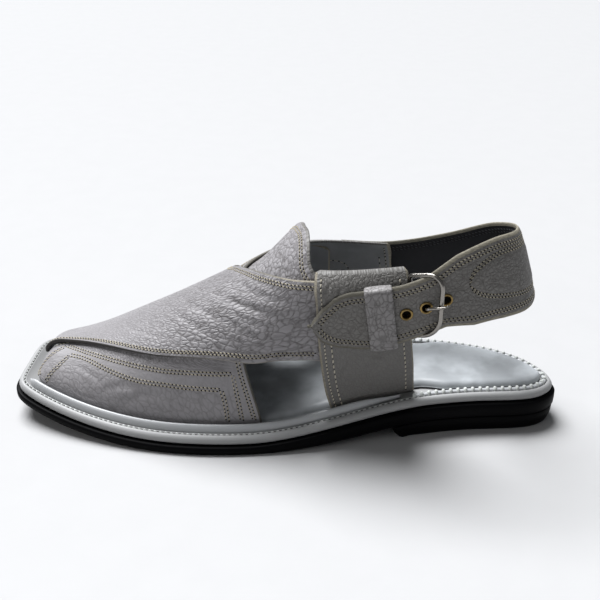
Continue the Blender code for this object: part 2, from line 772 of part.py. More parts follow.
def frame_loop(pivot_point, bar_point):
    """Closed line of the upright buckle frame: square at the pivot, round at the bar."""
    up = np.array([0.0, 0.0, 1.0])
    out = bar_point - pivot_point
    length = np.linalg.norm(out)
    out = out / length
    half = FRAME_HEIGHT / 2
    points = []
    for radius, base, sign, start in (
        (FRAME_ROUND, length, -1, -90), (FRAME_ROUND, length, 1, 0),
        (PIVOT_ROUND, 0.0, 1, 90), (PIVOT_ROUND, 0.0, -1, 180),
    ):
        inward = -radius if base > 0 else radius
        corner = (base + inward, sign * (half - radius))
        for step in range(CORNER_STEPS):
            angle = math.radians(start + step * 90 / (CORNER_STEPS - 1))
            points.append(pivot_point + out * (corner[0] + radius * math.cos(angle))
                          + up * (corner[1] + radius * math.sin(angle)))
    return points


def prong_line(pivot_point, bar_point, hole):
    """Line of the prong: hooked on the pivot bar, under the strap, up through its hole and onto the bar."""
    centre, up, side = hole
    along = np.cross(up, side)
    along = along / np.linalg.norm(along) * math.copysign(1, along[0])
    wrap = WIRE / 2 + CLEARANCE + PRONG_WIRE / 2
    points = []
    for angle in np.radians(np.linspace(*HOOK_TURN, CORNER_STEPS + 1)):
        points.append(pivot_point + along * wrap * math.cos(angle) + side * wrap * math.sin(angle))
    under = HEEL_STRAP_LEATHER / 2 + CLEARANCE + EYELET_FLANGE + CLEARANCE + PRONG_WIRE / 2
    bend = EYELET_BORE
    over_bar = bar_point + side * (WIRE / 2 + CLEARANCE + PRONG_WIRE / 2)
    for sign, outwards, forwards in PRONG_BENDS:
        points.append(centre + side * (sign * under + outwards * bend) + along * forwards * bend)
    points.append(over_bar)
    points.append(over_bar + along * PRONG_OVERHANG)
    return points


def keeper(name, frame, finish):
    """Leather band over the strap, its two ends standing on the ankle panel."""
    centre, up, side = frame
    up = up + np.array([0.0, 0.0, SHARES["keeper_upright"]])
    up = up - side * np.dot(up, side)
    up = up / np.linalg.norm(up)
    along = np.cross(up, side)
    half = FASTENING_WIDTH / 2 + 2 * CLEARANCE
    face = HEEL_STRAP_LEATHER / 2 + 2 * CLEARANCE
    wide = half + KEEPER_LEATHER
    high = face + KEEPER_LEATHER
    ends = []
    for sign in (-1, 1):
        edge = [centre + up * sign * wide + along * step * KEEPER_WIDTH / 2 for step in (-1, 1)]
        gap = [point[1] - panel_face(point[0] / LENGTH, point[2:])[0] for point in edge]
        ends.append(max(gap) + CLEARANCE * 3)
    low, top = ends
    curve = KEEPER_LEATHER
    inner = [(half, top), (half, face - curve / 2), (half - curve / 2, face), (-half + curve / 2, face),
             (-half, face - curve / 2), (-half, low)]
    outer = [(-wide, low), (-wide, high - curve), (-wide + curve, high), (wide - curve, high),
             (wide, high - curve), (wide, top)]
    profile = inner + outer
    count = len(profile)
    points = []
    for step in (-0.5, 0.5):
        for a, b in profile:
            points.append(centre + up * a + side * b + along * step * KEEPER_WIDTH)
    faces = []
    for level in (0, count):
        for i in range(len(inner) - 1):
            faces.append((level + i, level + i + 1, level + count - 2 - i, level + count - 1 - i))
    for i in range(count):
        j = (i + 1) % count
        faces.append((i, j, count + j, count + i))
    return put(name, points, faces, finish)


for old in list(bpy.data.objects):
    bpy.data.objects.remove(old)

CHAPPAL = bpy.data.collections.new("peshawari_chappal")
CUTTERS = bpy.data.collections.new("cutters")
bpy.context.scene.collection.children.link(CHAPPAL)
bpy.context.scene.collection.children.link(CUTTERS)
EDGE = outline(OUTSOLE_EDGE)
ORIGIN = np.array([*(EDGE.min(0) + EDGE.max(0)) / 2, 0.0])

UPPER_FINISH = material("upper_leather", (0.23, 0.20, 0.20), 0.55)
PANEL_FINISH = material("panel_leather", (0.20, 0.17, 0.165), 0.55)
STRAP_FINISH = material("strap_leather", (0.18, 0.155, 0.145), 0.55)
SOLE_FINISH = material("black_rubber", (0.012, 0.012, 0.013), 0.5)
MIDSOLE_FINISH = material("grey_midsole", (0.50, 0.51, 0.51), 0.4)
RAND_FINISH = material("grey_rand", (0.62, 0.64, 0.66), 0.3)
INSOLE_FINISH = material("insole_leather", (0.56, 0.60, 0.63), 0.5)
STEEL_FINISH = material("buckle_steel", (0.60, 0.58, 0.55), 0.25, 1.0)
BRASS_FINISH = material("eyelet_brass", (0.62, 0.47, 0.22), 0.3, 1.0)

# Outsole
stacked("outsole", [
    ring_at(OUTSOLE_EDGE - EDGE_ROUND, outsole_bottom),
    ring_at(OUTSOLE_EDGE, lambda x: outsole_bottom(x) + EDGE_ROUND),
    ring_at(OUTSOLE_EDGE, lambda x: midsole_bottom(x) - CLEARANCE),
], SOLE_FINISH)

# Midsole with a rounded edge
stacked("midsole", [
    ring_at(0.0, midsole_bottom),
    ring_at(MIDSOLE_ROUND * SHARES["midsole_bulge"], lambda x: midsole_bottom(x) + MIDSOLE_THICKNESS / 2),
    ring_at(0.0, lambda x: deck(x) - MIDSOLE_ROUND),
    ring_at(-MIDSOLE_ROUND, deck),
], MIDSOLE_FINISH)

# Heel block, with its breast sloping back to the ground
stacked("heel_block", [
    heel_ring(OUTSOLE_EDGE - HEEL_UNDERCUT, lambda x: x * 0, HEEL_BREAST_SLOPE),
    heel_ring(OUTSOLE_EDGE - HEEL_UNDERCUT / 2, lambda x: outsole_bottom(x) * SHARES["heel_middle"],
              HEEL_BREAST_SLOPE * SHARES["heel_middle_slope"]),
    heel_ring(OUTSOLE_EDGE - EDGE_ROUND / 2, lambda x: outsole_bottom(x) - CLEARANCE, 0.0),
], SOLE_FINISH)

# Insole
stacked("insole", [
    insole_ring(0.0, lambda x: deck(x) + CLEARANCE),
    insole_ring(0.0, lambda x: deck(x) + CLEARANCE + INSOLE_THICKNESS * SHARES["insole_edge"]),
    insole_ring(INSOLE_THICKNESS / 2, lambda x: deck(x) + CLEARANCE + INSOLE_THICKNESS),
], INSOLE_FINISH)

# Round rands that close the joint between the straps and the ledge
rand("rand_outer", RAND_OUTER_SPAN, False)
rand("rand_inner", RAND_INNER_SPAN, True)

# Upper: the under strap joined to the over strap where they cross
over = leather_sheet("over_strap", strap_surface(OVER_STRAP, True, True), LEATHER, UPPER_FINISH)
upper = leather_sheet("upper", strap_surface(UNDER_STRAP, False, False), LEATHER, UPPER_FINISH)
boolean(upper, guide(over), "UNION")

# Tongue under both straps
leather_sheet("tongue", tongue_surface(), TONGUE_LEATHER, UPPER_FINISH)

# Ankle panels over the ends of the straps
leather_sheet("ankle_panel_outer", panel_surface(OUTER_PANEL, OUTER_PANEL_TOP, False), LEATHER, PANEL_FINISH)
leather_sheet("ankle_panel_inner", panel_surface(INNER_PANEL, INNER_PANEL_TOP, True), LEATHER, PANEL_FINISH)

# Heel strap with its three punched holes
centres, widths, ups, sides = strap_frames()
strap = swept("heel_strap", centres, widths, ups, sides, HEEL_STRAP_LEATHER, STRAP_FINISH)
eyelet_places = PLACES["first_eyelet"] + np.arange(3) * EYELET_PITCH / LENGTH
holes = [strap_place(centres, ups, sides, place) for place in eyelet_places]
for number, frame in enumerate(holes, start=1):
    boolean(strap, punch(f"punch_{number}", frame, EYELET_BORE + EYELET_WALL + CLEARANCE), "DIFFERENCE")
    eyelet(f"eyelet_{number}", frame, BRASS_FINISH)

# Buckle: frame and prong
pivot_at, _, pivot_side = strap_place(centres, ups, sides, PLACES["pivot"])
bar_at, _, bar_side = strap_place(centres, ups, sides, PLACES["bar"])
depth = HEEL_STRAP_LEATHER / 2 + CLEARANCE
pivot_point = pivot_at - pivot_side * (depth + EYELET_FLANGE + PRONG_WIRE + 2 * CLEARANCE + WIRE / 2)
bar_point = bar_at + bar_side * (depth + BAR_LIFT + 2 * CLEARANCE + WIRE / 2)
pivot_point[2] = bar_point[2] - PIVOT_DROP
wire("buckle_frame", frame_loop(pivot_point, bar_point), WIRE, STEEL_FINISH, True)
wire("buckle_prong", prong_line(pivot_point, bar_point, holes[1]), PRONG_WIRE, STEEL_FINISH, False)

# Keeper loop over the strap, its ends on the ankle panel
keeper("keeper_loop", strap_place(centres, ups, sides, PLACES["keeper"]), PANEL_FINISH)
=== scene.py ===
# %% [markdown]
# # A peshawari chappal, dressed in leather
# The frame that is loaded first holds the plain solids of a left shoe at its real size. This file
# lays finer surfaces over them: straps with a wall and a cut edge, a welted sole, threads, holes and
# metal. Every surface is worked out with numpy from a few named sizes, in metres, with the toe
# towards -X, the buckle side towards -Y and the floor at z = 0.

# %% Load the frame
import math

import bpy
import numpy as np
from mathutils import Matrix


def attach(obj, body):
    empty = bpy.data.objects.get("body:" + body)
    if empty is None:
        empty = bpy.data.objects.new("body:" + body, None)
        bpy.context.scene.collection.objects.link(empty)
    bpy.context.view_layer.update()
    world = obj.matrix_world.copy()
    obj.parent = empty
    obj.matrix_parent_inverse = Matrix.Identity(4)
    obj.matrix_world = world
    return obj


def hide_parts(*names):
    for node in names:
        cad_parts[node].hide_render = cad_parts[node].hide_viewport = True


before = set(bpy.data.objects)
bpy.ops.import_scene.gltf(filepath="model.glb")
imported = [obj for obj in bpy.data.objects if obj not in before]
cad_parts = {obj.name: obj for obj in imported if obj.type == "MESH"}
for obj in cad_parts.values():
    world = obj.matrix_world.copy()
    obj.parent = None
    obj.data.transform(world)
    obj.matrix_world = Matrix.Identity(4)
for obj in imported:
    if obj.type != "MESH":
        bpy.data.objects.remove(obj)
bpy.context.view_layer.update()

# %% [markdown]
# ## Camera, floor and light
# A product photo is taken from a little above, with a long lens. The camera could be aimed by hand,
# but here its place is worked out from two angles, a distance and the point it looks at, so that the
# view can be set again from a drawing. Large soft lamps above the shoe give the broad, gentle
# highlights of a north window, and the vertical sides stay darker than the tops.

# %% Camera
CAMERA_YAW = math.radians(-2.625)
CAMERA_PITCH = math.radians(28.13)
CAMERA_ROLL = math.radians(-0.06)
CAMERA_DISTANCE = 0.4666
CAMERA_TARGET = np.array([0.00918, -0.00081, 0.06647])
LENS_PER_FRAME_WIDTH = 1.417
SENSOR_WIDTH = 36.0


def set_camera():
    """Camera on a sphere about its target: yaw turns it about Z, pitch lifts it, roll tips the frame."""
    forward = np.array([math.sin(CAMERA_YAW) * math.cos(CAMERA_PITCH),
                        math.cos(CAMERA_YAW) * math.cos(CAMERA_PITCH), -math.sin(CAMERA_PITCH)])
    right = np.array([math.cos(CAMERA_YAW), -math.sin(CAMERA_YAW), 0.0])
    above = np.cross(right, forward)
    turned_right = right * math.cos(CAMERA_ROLL) + above * math.sin(CAMERA_ROLL)
    turned_above = above * math.cos(CAMERA_ROLL) - right * math.sin(CAMERA_ROLL)
    data = bpy.data.cameras.new("camera")
    data.sensor_width = SENSOR_WIDTH
    data.lens = SENSOR_WIDTH * LENS_PER_FRAME_WIDTH
    camera = bpy.data.objects.new("camera", data)
    bpy.context.scene.collection.objects.link(camera)
    pose = np.eye(4)
    pose[:3, 0] = turned_right
    pose[:3, 1] = turned_above
    pose[:3, 2] = -forward
    pose[:3, 3] = CAMERA_TARGET - CAMERA_DISTANCE * forward
    camera.matrix_world = Matrix(pose.tolist())
    bpy.context.scene.camera = camera
    return camera


camera = set_camera()
print("camera at", [round(value, 4) for value in camera.matrix_world.translation])

# %% Lamps and sky
SKY_COLOUR = (0.93, 0.96, 1.0)
SKY_STRENGTH = 0.17
WINDOW_ANGLE = math.radians(38)
FILL_SIZE = 0.5


def lamp(name, kind, place, target, power, colour, **settings):
    """Lamp at a place, facing a target."""
    data = bpy.data.lights.new(name, kind)
    data.energy = power
    data.color = colour
    for key, value in settings.items():
        setattr(data, key, value)
    made = bpy.data.objects.new(name, data)
    made.location = place
    bpy.context.scene.collection.objects.link(made)
    aim = made.location.copy()
    aim.x, aim.y, aim.z = target
    made.rotation_euler = (aim - made.location).to_track_quat("-Z", "Y").to_euler()
    return made


bpy.context.scene.view_settings.view_transform = "Standard"
world = bpy.data.worlds.new("sky")
bpy.context.scene.world = world
world.use_nodes = True
sky = world.node_tree.nodes["Background"]
sky.inputs["Color"].default_value = (*SKY_COLOUR, 1.0)
sky.inputs["Strength"].default_value = SKY_STRENGTH
# name, kind, place, target, power, colour
lamp("window", "SUN", (-0.50, 0.62, 1.45), (0.0, 0.0, 0.0), 7.4, (0.97, 0.98, 1.0), angle=WINDOW_ANGLE)
lamp("front_left", "AREA", (-0.80, -0.70, 0.60), (0.0, 0.0, 0.05), 1.6, (1.0, 0.98, 0.96), shape="SQUARE",
     size=FILL_SIZE)

# %% [markdown]
# ## Shader arithmetic
# A material is a network of nodes. Wiring them one by one hides the idea, so a small class wraps a
# socket and lets Python's own signs add the Math nodes: `1 - groove * 0.4` reads as it is meant.
# Everything that isn't arithmetic comes from one method, which takes a node's type, its settings
# and its inputs.


# %% Signs that add nodes
class Term:
    """One socket of a material. Signs between terms and numbers add Math nodes."""

    def __init__(self, paint, socket):
        self.paint = paint
        self.socket = socket

    def math(self, operation, *terms):
        return self.paint.node("Math", {"operation": operation}, dict(enumerate(terms)))

    def __add__(self, other):
        return self.math("ADD", self, other)

    def __radd__(self, other):
        return self.math("ADD", other, self)

    def __sub__(self, other):
        return self.math("SUBTRACT", self, other)

    def __rsub__(self, other):
        return self.math("SUBTRACT", other, self)

    def __mul__(self, other):
        return self.math("MULTIPLY", self, other)

    def __rmul__(self, other):
        return self.math("MULTIPLY", other, self)

    def step(self, low, high):
        """0 below low, 1 above high, with soft ends."""
        return self.paint.node("MapRange", {"interpolation_type": "SMOOTHSTEP", "clamp": True},
                               {"Value": self, "From Min": low, "From Max": high})


# %% Materials
class Paint:
    """A material with a Principled shader and the nodes that feed it."""

    def __init__(self, name, **constants):
        self.material = bpy.data.materials.new(name)
        self.material.use_nodes = True
        self.tree = self.material.node_tree
        self.shader = self.tree.nodes["Principled BSDF"]
        for socket, value in constants.items():
            self.feed(self.shader.inputs[socket.replace("_", " ")], value)

    def feed(self, socket, value):
        if isinstance(value, Term):
            self.tree.links.new(value.socket, socket)
        elif isinstance(value, tuple) and len(value) == 3 and socket.type == "RGBA":
            socket.default_value = (*value, 1.0)
        else:
            socket.default_value = value

    def node(self, kind, settings=None, inputs=None, output=0):
        made = self.tree.nodes.new("ShaderNode" + kind)
        for key, value in (settings or {}).items():
            setattr(made, key, value)
        for key, value in (inputs or {}).items():
            self.feed(made.inputs[key], value)
        return Term(self, made.outputs[output])

    def place(self):
        """The point itself, in metres."""
        return self.node("TexCoord", output="Object")

    def flow(self):
        """Along and across the piece, in metres, from its own UV map."""
        return self.node("UVMap", {"uv_map": "flow"})

    def attribute(self, name):
        return self.node("Attribute", {"attribute_name": name}, output="Fac")

    def stretched(self, vector, scale):
        return self.node("VectorMath", {"operation": "MULTIPLY"}, {0: vector, 1: scale})

    def wobble(self, vector, size, amount):
        """Shifts a vector by a soft noise, so that a pattern's lines wander."""
        noise = self.node("TexNoise", {}, {"Vector": vector, "Scale": size, "Detail": 2.0}, output="Color")
        centred = self.node("VectorMath", {"operation": "SUBTRACT"}, {0: noise, 1: (0.5, 0.5, 0.5)})
        shifted = self.node("VectorMath", {"operation": "MULTIPLY"}, {0: centred, 1: (amount,) * 3})
        return self.node("VectorMath", {"operation": "ADD"}, {0: vector, 1: shifted})

    def noise(self, vector, scale, detail=3.0, roughness=0.55):
        return self.node("TexNoise", {}, {"Vector": vector, "Scale": scale, "Detail": detail,
                                          "Roughness": roughness}, output="Fac")

    def cells(self, vector, scale):
        """Distance to the nearest border between pebbles, in 0 to about 0.5."""
        return self.node("TexVoronoi", {"voronoi_dimensions": "3D", "feature": "DISTANCE_TO_EDGE"},
                         {"Vector": vector, "Scale": scale}, output="Distance")

    def mix(self, share, first, second):
        """Colour between two colours."""
        made = self.tree.nodes.new("ShaderNodeMix")
        made.data_type = "RGBA"
        self.feed(made.inputs["Factor"], share)
        self.feed(made.inputs[6], first)
        self.feed(made.inputs[7], second)
        return Term(self, made.outputs[2])

    def bump(self, height, distance):
        return self.node("Bump", {}, {"Height": height, "Distance": distance, "Strength": 1.0})

    def finish(self, **sockets):
        for socket, value in sockets.items():
            self.feed(self.shader.inputs[socket.replace("_", " ")], value)
        return self.material


# %% [markdown]
# ## Leather
# Pebbled leather is a skin of small domes with creases between them. The creases run along the pull
# of the strap, so the cells of the pattern are longer along the strap than across it, and their size
# is given in metres on a UV map that follows the piece. A photo texture would be quicker, but cells
# from a formula stay sharp at any size and turn with the piece.


# %% Leather
LEATHER_ROUGHNESS = 0.54
CREASE_ROUGHNESS = 0.12
LEATHER_COAT = 0.08
CLOUD_SCALE = 34.0
CLOUD_LIGHT = 1.12
FOLD_SCALE = 0.45
SMALL_SCALE = 2.7
PORE_SCALE = 2600.0


def leather(name, colour, crease_shade_colour, long, wide, relief):
    """Pebbles between narrow wandering creases, of which some are deep, with small cells and pores on them.
    height = dome + groove + small cells + deep folds + pores, each a soft step of a distance to a border.
    In the creases the colour turns to the crease shade colour: painted shade."""
    paint = Paint(name, Coat_Roughness=0.32, IOR=1.47)
    flow = paint.flow()
    grain = paint.attribute("grain")
    even = paint.stretched(flow, (1 / long, 1 / wide, 1.0))
    bent = paint.wobble(even, 0.8, 0.9)
    pebble = paint.cells(bent, 1.0)
    fold = paint.cells(paint.wobble(even, 0.4, 1.2), FOLD_SCALE)
    small = paint.cells(bent, SMALL_SCALE)
    pore = paint.noise(flow, PORE_SCALE, 2.0)
    deep = paint.noise(even, 0.4).step(0.40, 0.62)
    dome = pebble.step(0.0, 0.38) * 0.62
    groove = pebble.step(0.0, 0.12) * 0.22
    height = dome + groove + small.step(0.0, 0.4) * 0.06 + fold.step(0.0, 0.14) * deep * 0.30 + pore * 0.03
    # painted shade: the colour is darkened in the creases and deep folds, as strongly as the grain attribute
    # sets
    shade = pebble.step(0.0, 0.16) * 0.65 + fold.step(0.0, 0.08) * 0.35
    shade = shade * grain + (1 - grain)
    cloud = paint.noise(paint.place(), CLOUD_SCALE, 3.0)
    light = tuple(min(1.0, value * CLOUD_LIGHT) for value in colour)
    tone = paint.mix(cloud.step(0.42, 0.75) * 0.6, colour, light)
    return paint.finish(
        Base_Color=paint.mix(shade, crease_shade_colour, tone),
        Roughness=LEATHER_ROUGHNESS + CREASE_ROUGHNESS - shade * CREASE_ROUGHNESS,
        Coat_Weight=LEATHER_COAT * shade,
        Normal=paint.bump(height * grain, relief),
    )


# name, colour, painted shade colour in the creases, length and width of a pebble, relief
STRAP_LEATHER = leather("strap_grain_leather", (0.235, 0.226, 0.234), (0.100, 0.093, 0.094),
                        0.0040, 0.0031, 0.00037)
# painted shade: the panel and heel strap leathers are darker, browner copies of the strap leather, for
# upright sides that face away from the light above
PANEL_SHADED_LEATHER = leather("panel_grain_leather", (0.140, 0.135, 0.128), (0.098, 0.093, 0.086),
                        0.0024, 0.0020, 0.00030)
KEEPER_FINISH = leather("keeper_grain_leather", (0.205, 0.196, 0.196), (0.098, 0.093, 0.090),
                        0.0034, 0.0028, 0.00022)
HEEL_SHADED_LEATHER = leather("heel_strap_leather", (0.140, 0.134, 0.126), (0.094, 0.088, 0.081),
                       0.0026, 0.0022, 0.00028)
print("leathers:", [made.name for made in bpy.data.materials if "leather" in made.name])

# %% [markdown]
# ## Plain finishes
# Lining, rubber, thread and metal have no pattern to follow, so they share one recipe: a colour with
# a faint cloud and a fine tooth in the bump. One flat colour would be simpler, but it looks like
# plastic beside the leather. The cut edge of leather shows its fibres, so it has a recipe of its own,
# darker towards the toe: partly dirt and partly painted shade, where the edges face down and away
# from the light.


# %% Two recipes
FAINT_CLOUD = 45.0
TOOTH_ROUGHNESS = 0.12


def plain(name, colour, roughness, noise_scale=900.0, relief=0.00004, tint=0.12, coat=0.0, metallic=0.0,
          gloss=0.5):
    """A quiet finish: faint cloud in the colour and fine tooth in the bump."""
    paint = Paint(name, Metallic=metallic, Coat_Roughness=0.2, Specular_IOR_Level=gloss)
    place = paint.place()
    cloud = paint.noise(place, FAINT_CLOUD, 3.0)
    tooth = paint.noise(place, noise_scale, 2.0)
    darker = tuple(value * (1 - tint) for value in colour)
    return paint.finish(
        Base_Color=paint.mix(cloud.step(0.35, 0.65), darker, colour),
        Roughness=roughness + (tooth - 0.5) * TOOTH_ROUGHNESS,
        Coat_Weight=coat,
        Normal=paint.bump(tooth, relief),
    )


FIBRE_SCALE = (500.0, 500.0, 2400.0)
FIBRE_RELIEF = 0.00015


def raw_edge(name, dark, pale, start, end):
    """Cut edge of leather: fibrous, in one tone towards the toe and in another towards the heel; the darker
    tone is partly dirt and partly painted shade.
    """
    paint = Paint(name)
    place = paint.place()
    along = paint.node("SeparateXYZ", {}, {"Vector": place}, output="X")
    fibre = paint.noise(paint.stretched(place, FIBRE_SCALE), 1.0, 3.0)
    tone = paint.mix(along.step(start, end), dark, pale)
    return paint.finish(
        Base_Color=paint.mix(fibre.step(0.35, 0.7) * 0.5, tone, tuple(value * 0.5 for value in dark)),
        Roughness=0.75 + fibre * 0.1,
        Normal=paint.bump(fibre, FIBRE_RELIEF),
    )


# %% Linings, rubber, thread and metal
# name, darker tone towards the toe (partly dirt, partly painted shade), paler tone, and the two places
# between which it changes
CUT_EDGE = raw_edge("cut_edge", (0.105, 0.098, 0.082), (0.26, 0.235, 0.185), -0.02, 0.02)
# painted shade: the lip's cut edge is near black towards the toe, where it faces down over the gap under the
# lip
LIP_EDGE = raw_edge("lip_edge", (0.045, 0.041, 0.038), (0.26, 0.245, 0.225), -0.072, -0.020)
STRAP_EDGE = raw_edge("strap_edge", (0.115, 0.107, 0.085), (0.24, 0.22, 0.17), 0.03, 0.10)
# name, colour, roughness, scale of the tooth, relief, tint of the cloud, coat, metallic, gloss
DARK_LINING = plain("dark_lining", (0.0075, 0.0075, 0.0095), 0.6, 1200.0, 0.00006, gloss=0.25)
STRAP_LINING = plain("strap_lining", (0.18, 0.184, 0.190), 0.55, 1200.0, 0.00006, 0.25)
GREY_LINING = plain("grey_lining", (0.21, 0.213, 0.216), 0.55, 1200.0, 0.00006, 0.25)
BLACK_RUBBER = plain("black_rubber_side", (0.0014, 0.0014, 0.0018), 0.5, 1400.0, 0.00003, gloss=0.05)
GREY_RUBBER = plain("grey_midsole_side", (0.31, 0.312, 0.312), 0.50, 700.0, 0.00003, 0.06, 0.05, gloss=0.35)
GREY_ROLL = plain("grey_roll", (0.40, 0.41, 0.42), 0.42, 500.0, 0.00005, 0.05, 0.15)
INSOLE_SKIN = plain("insole_skin", (0.44, 0.465, 0.485), 0.42, 600.0, 0.00006, 0.34, 0.1)
CREAM_THREAD = plain("cream_thread", (0.40, 0.36, 0.27), 0.75, 3000.0, 0.0001, 0.3)
GREY_THREAD = plain("pale_thread", (0.56, 0.58, 0.56), 0.6, 3000.0, 0.0001, 0.15)
LINING_THREAD = plain("lining_thread", (0.34, 0.325, 0.27), 0.7, 3000.0, 0.0001)
PANEL_THREAD = plain("panel_thread", (0.52, 0.48, 0.39), 0.75, 3000.0, 0.0001, 0.2)
DARK_THREAD = plain("dark_thread", (0.030, 0.031, 0.036), 0.6, 3000.0, 0.0001)
# painted shade: needle holes and the walls of cut holes are near black, for the shade inside a hole
NEEDLE_HOLE_SHADE = plain("needle_hole_shade", (0.012, 0.009, 0.006), 0.9, gloss=0.1)
STEEL = plain("worn_nickel", (0.27, 0.255, 0.235), 0.24, 800.0, 0.00003, 0.3, 0.0, 1.0)
BRASS = plain("old_brass", (0.30, 0.21, 0.085), 0.34, 800.0, 0.00003, 0.4, 0.0, 1.0)
FLOOR_FINISH = plain("pale_floor", (0.415, 0.415, 0.417), 0.7, 60.0, 0.0001, 0.01, gloss=0.2)
print(len(bpy.data.materials), "finishes in all")

# %% Floor
FLOOR_SIZE = 8.0


def floor_sheet():
    """Flat square under the shoe."""
    half = FLOOR_SIZE / 2
    mesh = bpy.data.meshes.new("floor")
    corners = [(-half, -half, 0), (half, -half, 0), (half, half, 0), (-half, half, 0)]
    mesh.from_pydata(corners, [], [(0, 1, 2, 3)])
    mesh.materials.append(FLOOR_FINISH)
    made = bpy.data.objects.new("floor", mesh)
    bpy.context.scene.collection.objects.link(made)
    return made


floor_sheet()

# %% [markdown]
# ## Sizes of the shoe
# A shoemaker works from the last, a wooden foot. Here the last is a formula: a plan outline, a side
# profile and a superellipse between the two foot lines, wider and squarer towards the ankle. The
# same values shaped the solids, so what is drawn with them lies on the solids without fitting.

# %% Driving sizes
LENGTH = 0.300
HALF_BALL = 0.1096 / 2
TOE_SPRING = 0.0106
HEEL_PITCH = 0.0132
OUTSOLE_THICKNESS = 0.0048
WAIST_GROWTH = 0.0034
OUTSOLE_EDGE = 0.0026
MIDSOLE_THICKNESS = 0.0052
LEDGE_WIDTH = 0.0036
RAND_WIDTH = 0.0050
RAND_HEIGHT = 0.0040
INSTEP_HEIGHT = 0.1057
LEATHER = 0.0020
GAP = 0.0003
FOOT_INSET = LEDGE_WIDTH + RAND_WIDTH + GAP + LEATHER + 0.0002
OUTLINE = np.array([
    # share of the length angle, half width, centre line
    (0.00, 0.942, 0.062),
    (0.12, 0.922, 0.100),
    (0.25, 0.975, 0.066),
    (0.37, 1.000, 0.024),
    (0.50, 0.869, -0.007),
    (0.62, 0.715, 0.035),
    (0.75, 0.678, 0.060),
    (0.88, 0.787, -0.051),
    (1.00, 0.799, -0.128),
])
LAST = np.array([
    # place, ridge, square, lean_outer, lean_inner, ridge_y
    (0.037, 0.020, 2.00, 0.000, 0.000, 0.110),
    (0.053, 0.095, 2.00, 0.000, 0.000, 0.110),
    (0.083, 0.153, 2.00, 0.000, 0.000, 0.110),
    (0.150, 0.243, 2.00, 0.000, 0.000, 0.091),
    (0.230, 0.368, 2.10, 0.000, 0.000, 0.073),
    (0.307, 0.484, 2.15, 0.000, 0.000, 0.055),
    (0.377, 0.593, 2.20, 0.000, 0.000, 0.037),
    (0.420, 0.659, 2.30, 0.009, 0.004, 0.037),
    (0.460, 0.734, 2.40, 0.027, 0.013, 0.037),
    (0.493, 0.823, 2.60, 0.046, 0.018, 0.037),
    (0.527, 0.910, 2.80, 0.073, 0.029, 0.037),
    (0.567, 0.964, 3.30, 0.100, 0.044, 0.027),
    (0.633, 0.957, 4.00, 0.128, 0.055, 0.027),
    (0.767, 0.900, 4.00, 0.128, 0.055, 0.027),
])


# %% Curves and steps
def spline(table, column, t):
    """Natural cubic spline of one column over the first: a smooth bend with no pull at its ends."""
    table = np.asarray(table, dtype=float)
    ts = table[:, 0]
    vs = table[:, column]
    count = len(ts)
    step = np.diff(ts)
    matrix = np.eye(count)
    inside = np.arange(1, count - 1)
    matrix[inside, inside - 1] = step[:-1]
    matrix[inside, inside] = 2 * (step[:-1] + step[1:])
    matrix[inside, inside + 1] = step[1:]
    right = np.zeros(count)
    right[1:-1] = 6 * (np.diff(vs)[1:] / step[1:] - np.diff(vs)[:-1] / step[:-1])
    bend = np.linalg.solve(matrix, right)
    t = np.clip(np.asarray(t, dtype=float), ts[0], ts[-1])
    k = np.clip(np.searchsorted(ts, t, side="right") - 1, 0, count - 2)
    before = t - ts[k]
    after = ts[k + 1] - t
    width = step[k]
    value = bend[k] * after**3 / (6 * width) + bend[k + 1] * before**3 / (6 * width)
    value += (vs[k] / width - bend[k] * width / 6) * after
    return value + (vs[k + 1] / width - bend[k + 1] * width / 6) * before


def soft_step(value, start, end):
    """0 before start and 1 after end, 3u^2 - 2u^3 between them."""
    u = np.clip((np.asarray(value, dtype=float) - start) / (end - start), 0, 1)
    return u * u * (3 - 2 * u)


def hump(value, middle, width):
    """1 at the middle, falling as a bell to about 0 at a width from it."""
    return np.exp(-((np.asarray(value, dtype=float) - middle) / (width / 2)) ** 2)


def unit(vectors):
    """Vectors divided by their own lengths."""
    return vectors / np.maximum(np.linalg.norm(vectors, axis=-1, keepdims=True), 1e-12)


def run(points):
    """Distance of each point along its line, from 0 at the first."""
    return np.concatenate([[0.0], np.cumsum(np.linalg.norm(np.diff(points, axis=0), axis=1))])


def full_turn(count):
    """Even angles round a circle, the last one short of a full turn."""
    return np.linspace(0, 2 * np.pi, count + 1)[:-1]


def circle(count, first, second):
    """Directions round a circle in the plane of two others: cos * first + sin * second."""
    turn = full_turn(count)[:, None]
    return np.cos(turn) * first[..., None, :] + np.sin(turn) * second[..., None, :]


# %% Outline and profile of the sole
TOE_POWER = 0.42
POWER_GROWTH = 0.63
TOE_LIFT_END = 0.309
PITCH_START = 0.433
PITCH_END = 0.783
WAIST_END = 0.667


def outline(offset, stations=180):
    """Plan outline moved out by an offset: its half width is a spline times sin(pi t) to a rising power, so
    that the toe is blunt and the heel round."""
    t = np.linspace(0, 1, stations + 1)
    round_ends = np.clip(np.sin(np.pi * t), 0, None) ** (TOE_POWER + POWER_GROWTH * t)
    half = HALF_BALL * spline(OUTLINE, 1, t) * round_ends
    centre = HALF_BALL * spline(OUTLINE, 2, t)
    x = LENGTH * (1 - np.cos(np.pi * t)) / 2
    ring = np.vstack([np.column_stack([x, centre - half]), np.column_stack([x, centre + half])[::-1][1:-1]])
    along = np.roll(ring, -1, 0) - np.roll(ring, 1, 0)
    normal = unit(np.column_stack([along[:, 1], -along[:, 0]]))
    return ring + np.asarray(offset).reshape(-1, 1) * normal


def one_side(ring, inner):
    """Half of an outline from the toe to the heel, on the outer or the inner side."""
    half = len(ring) // 2
    return np.vstack([ring[:1], ring[half:][::-1]]) if inner else ring[: half + 1]


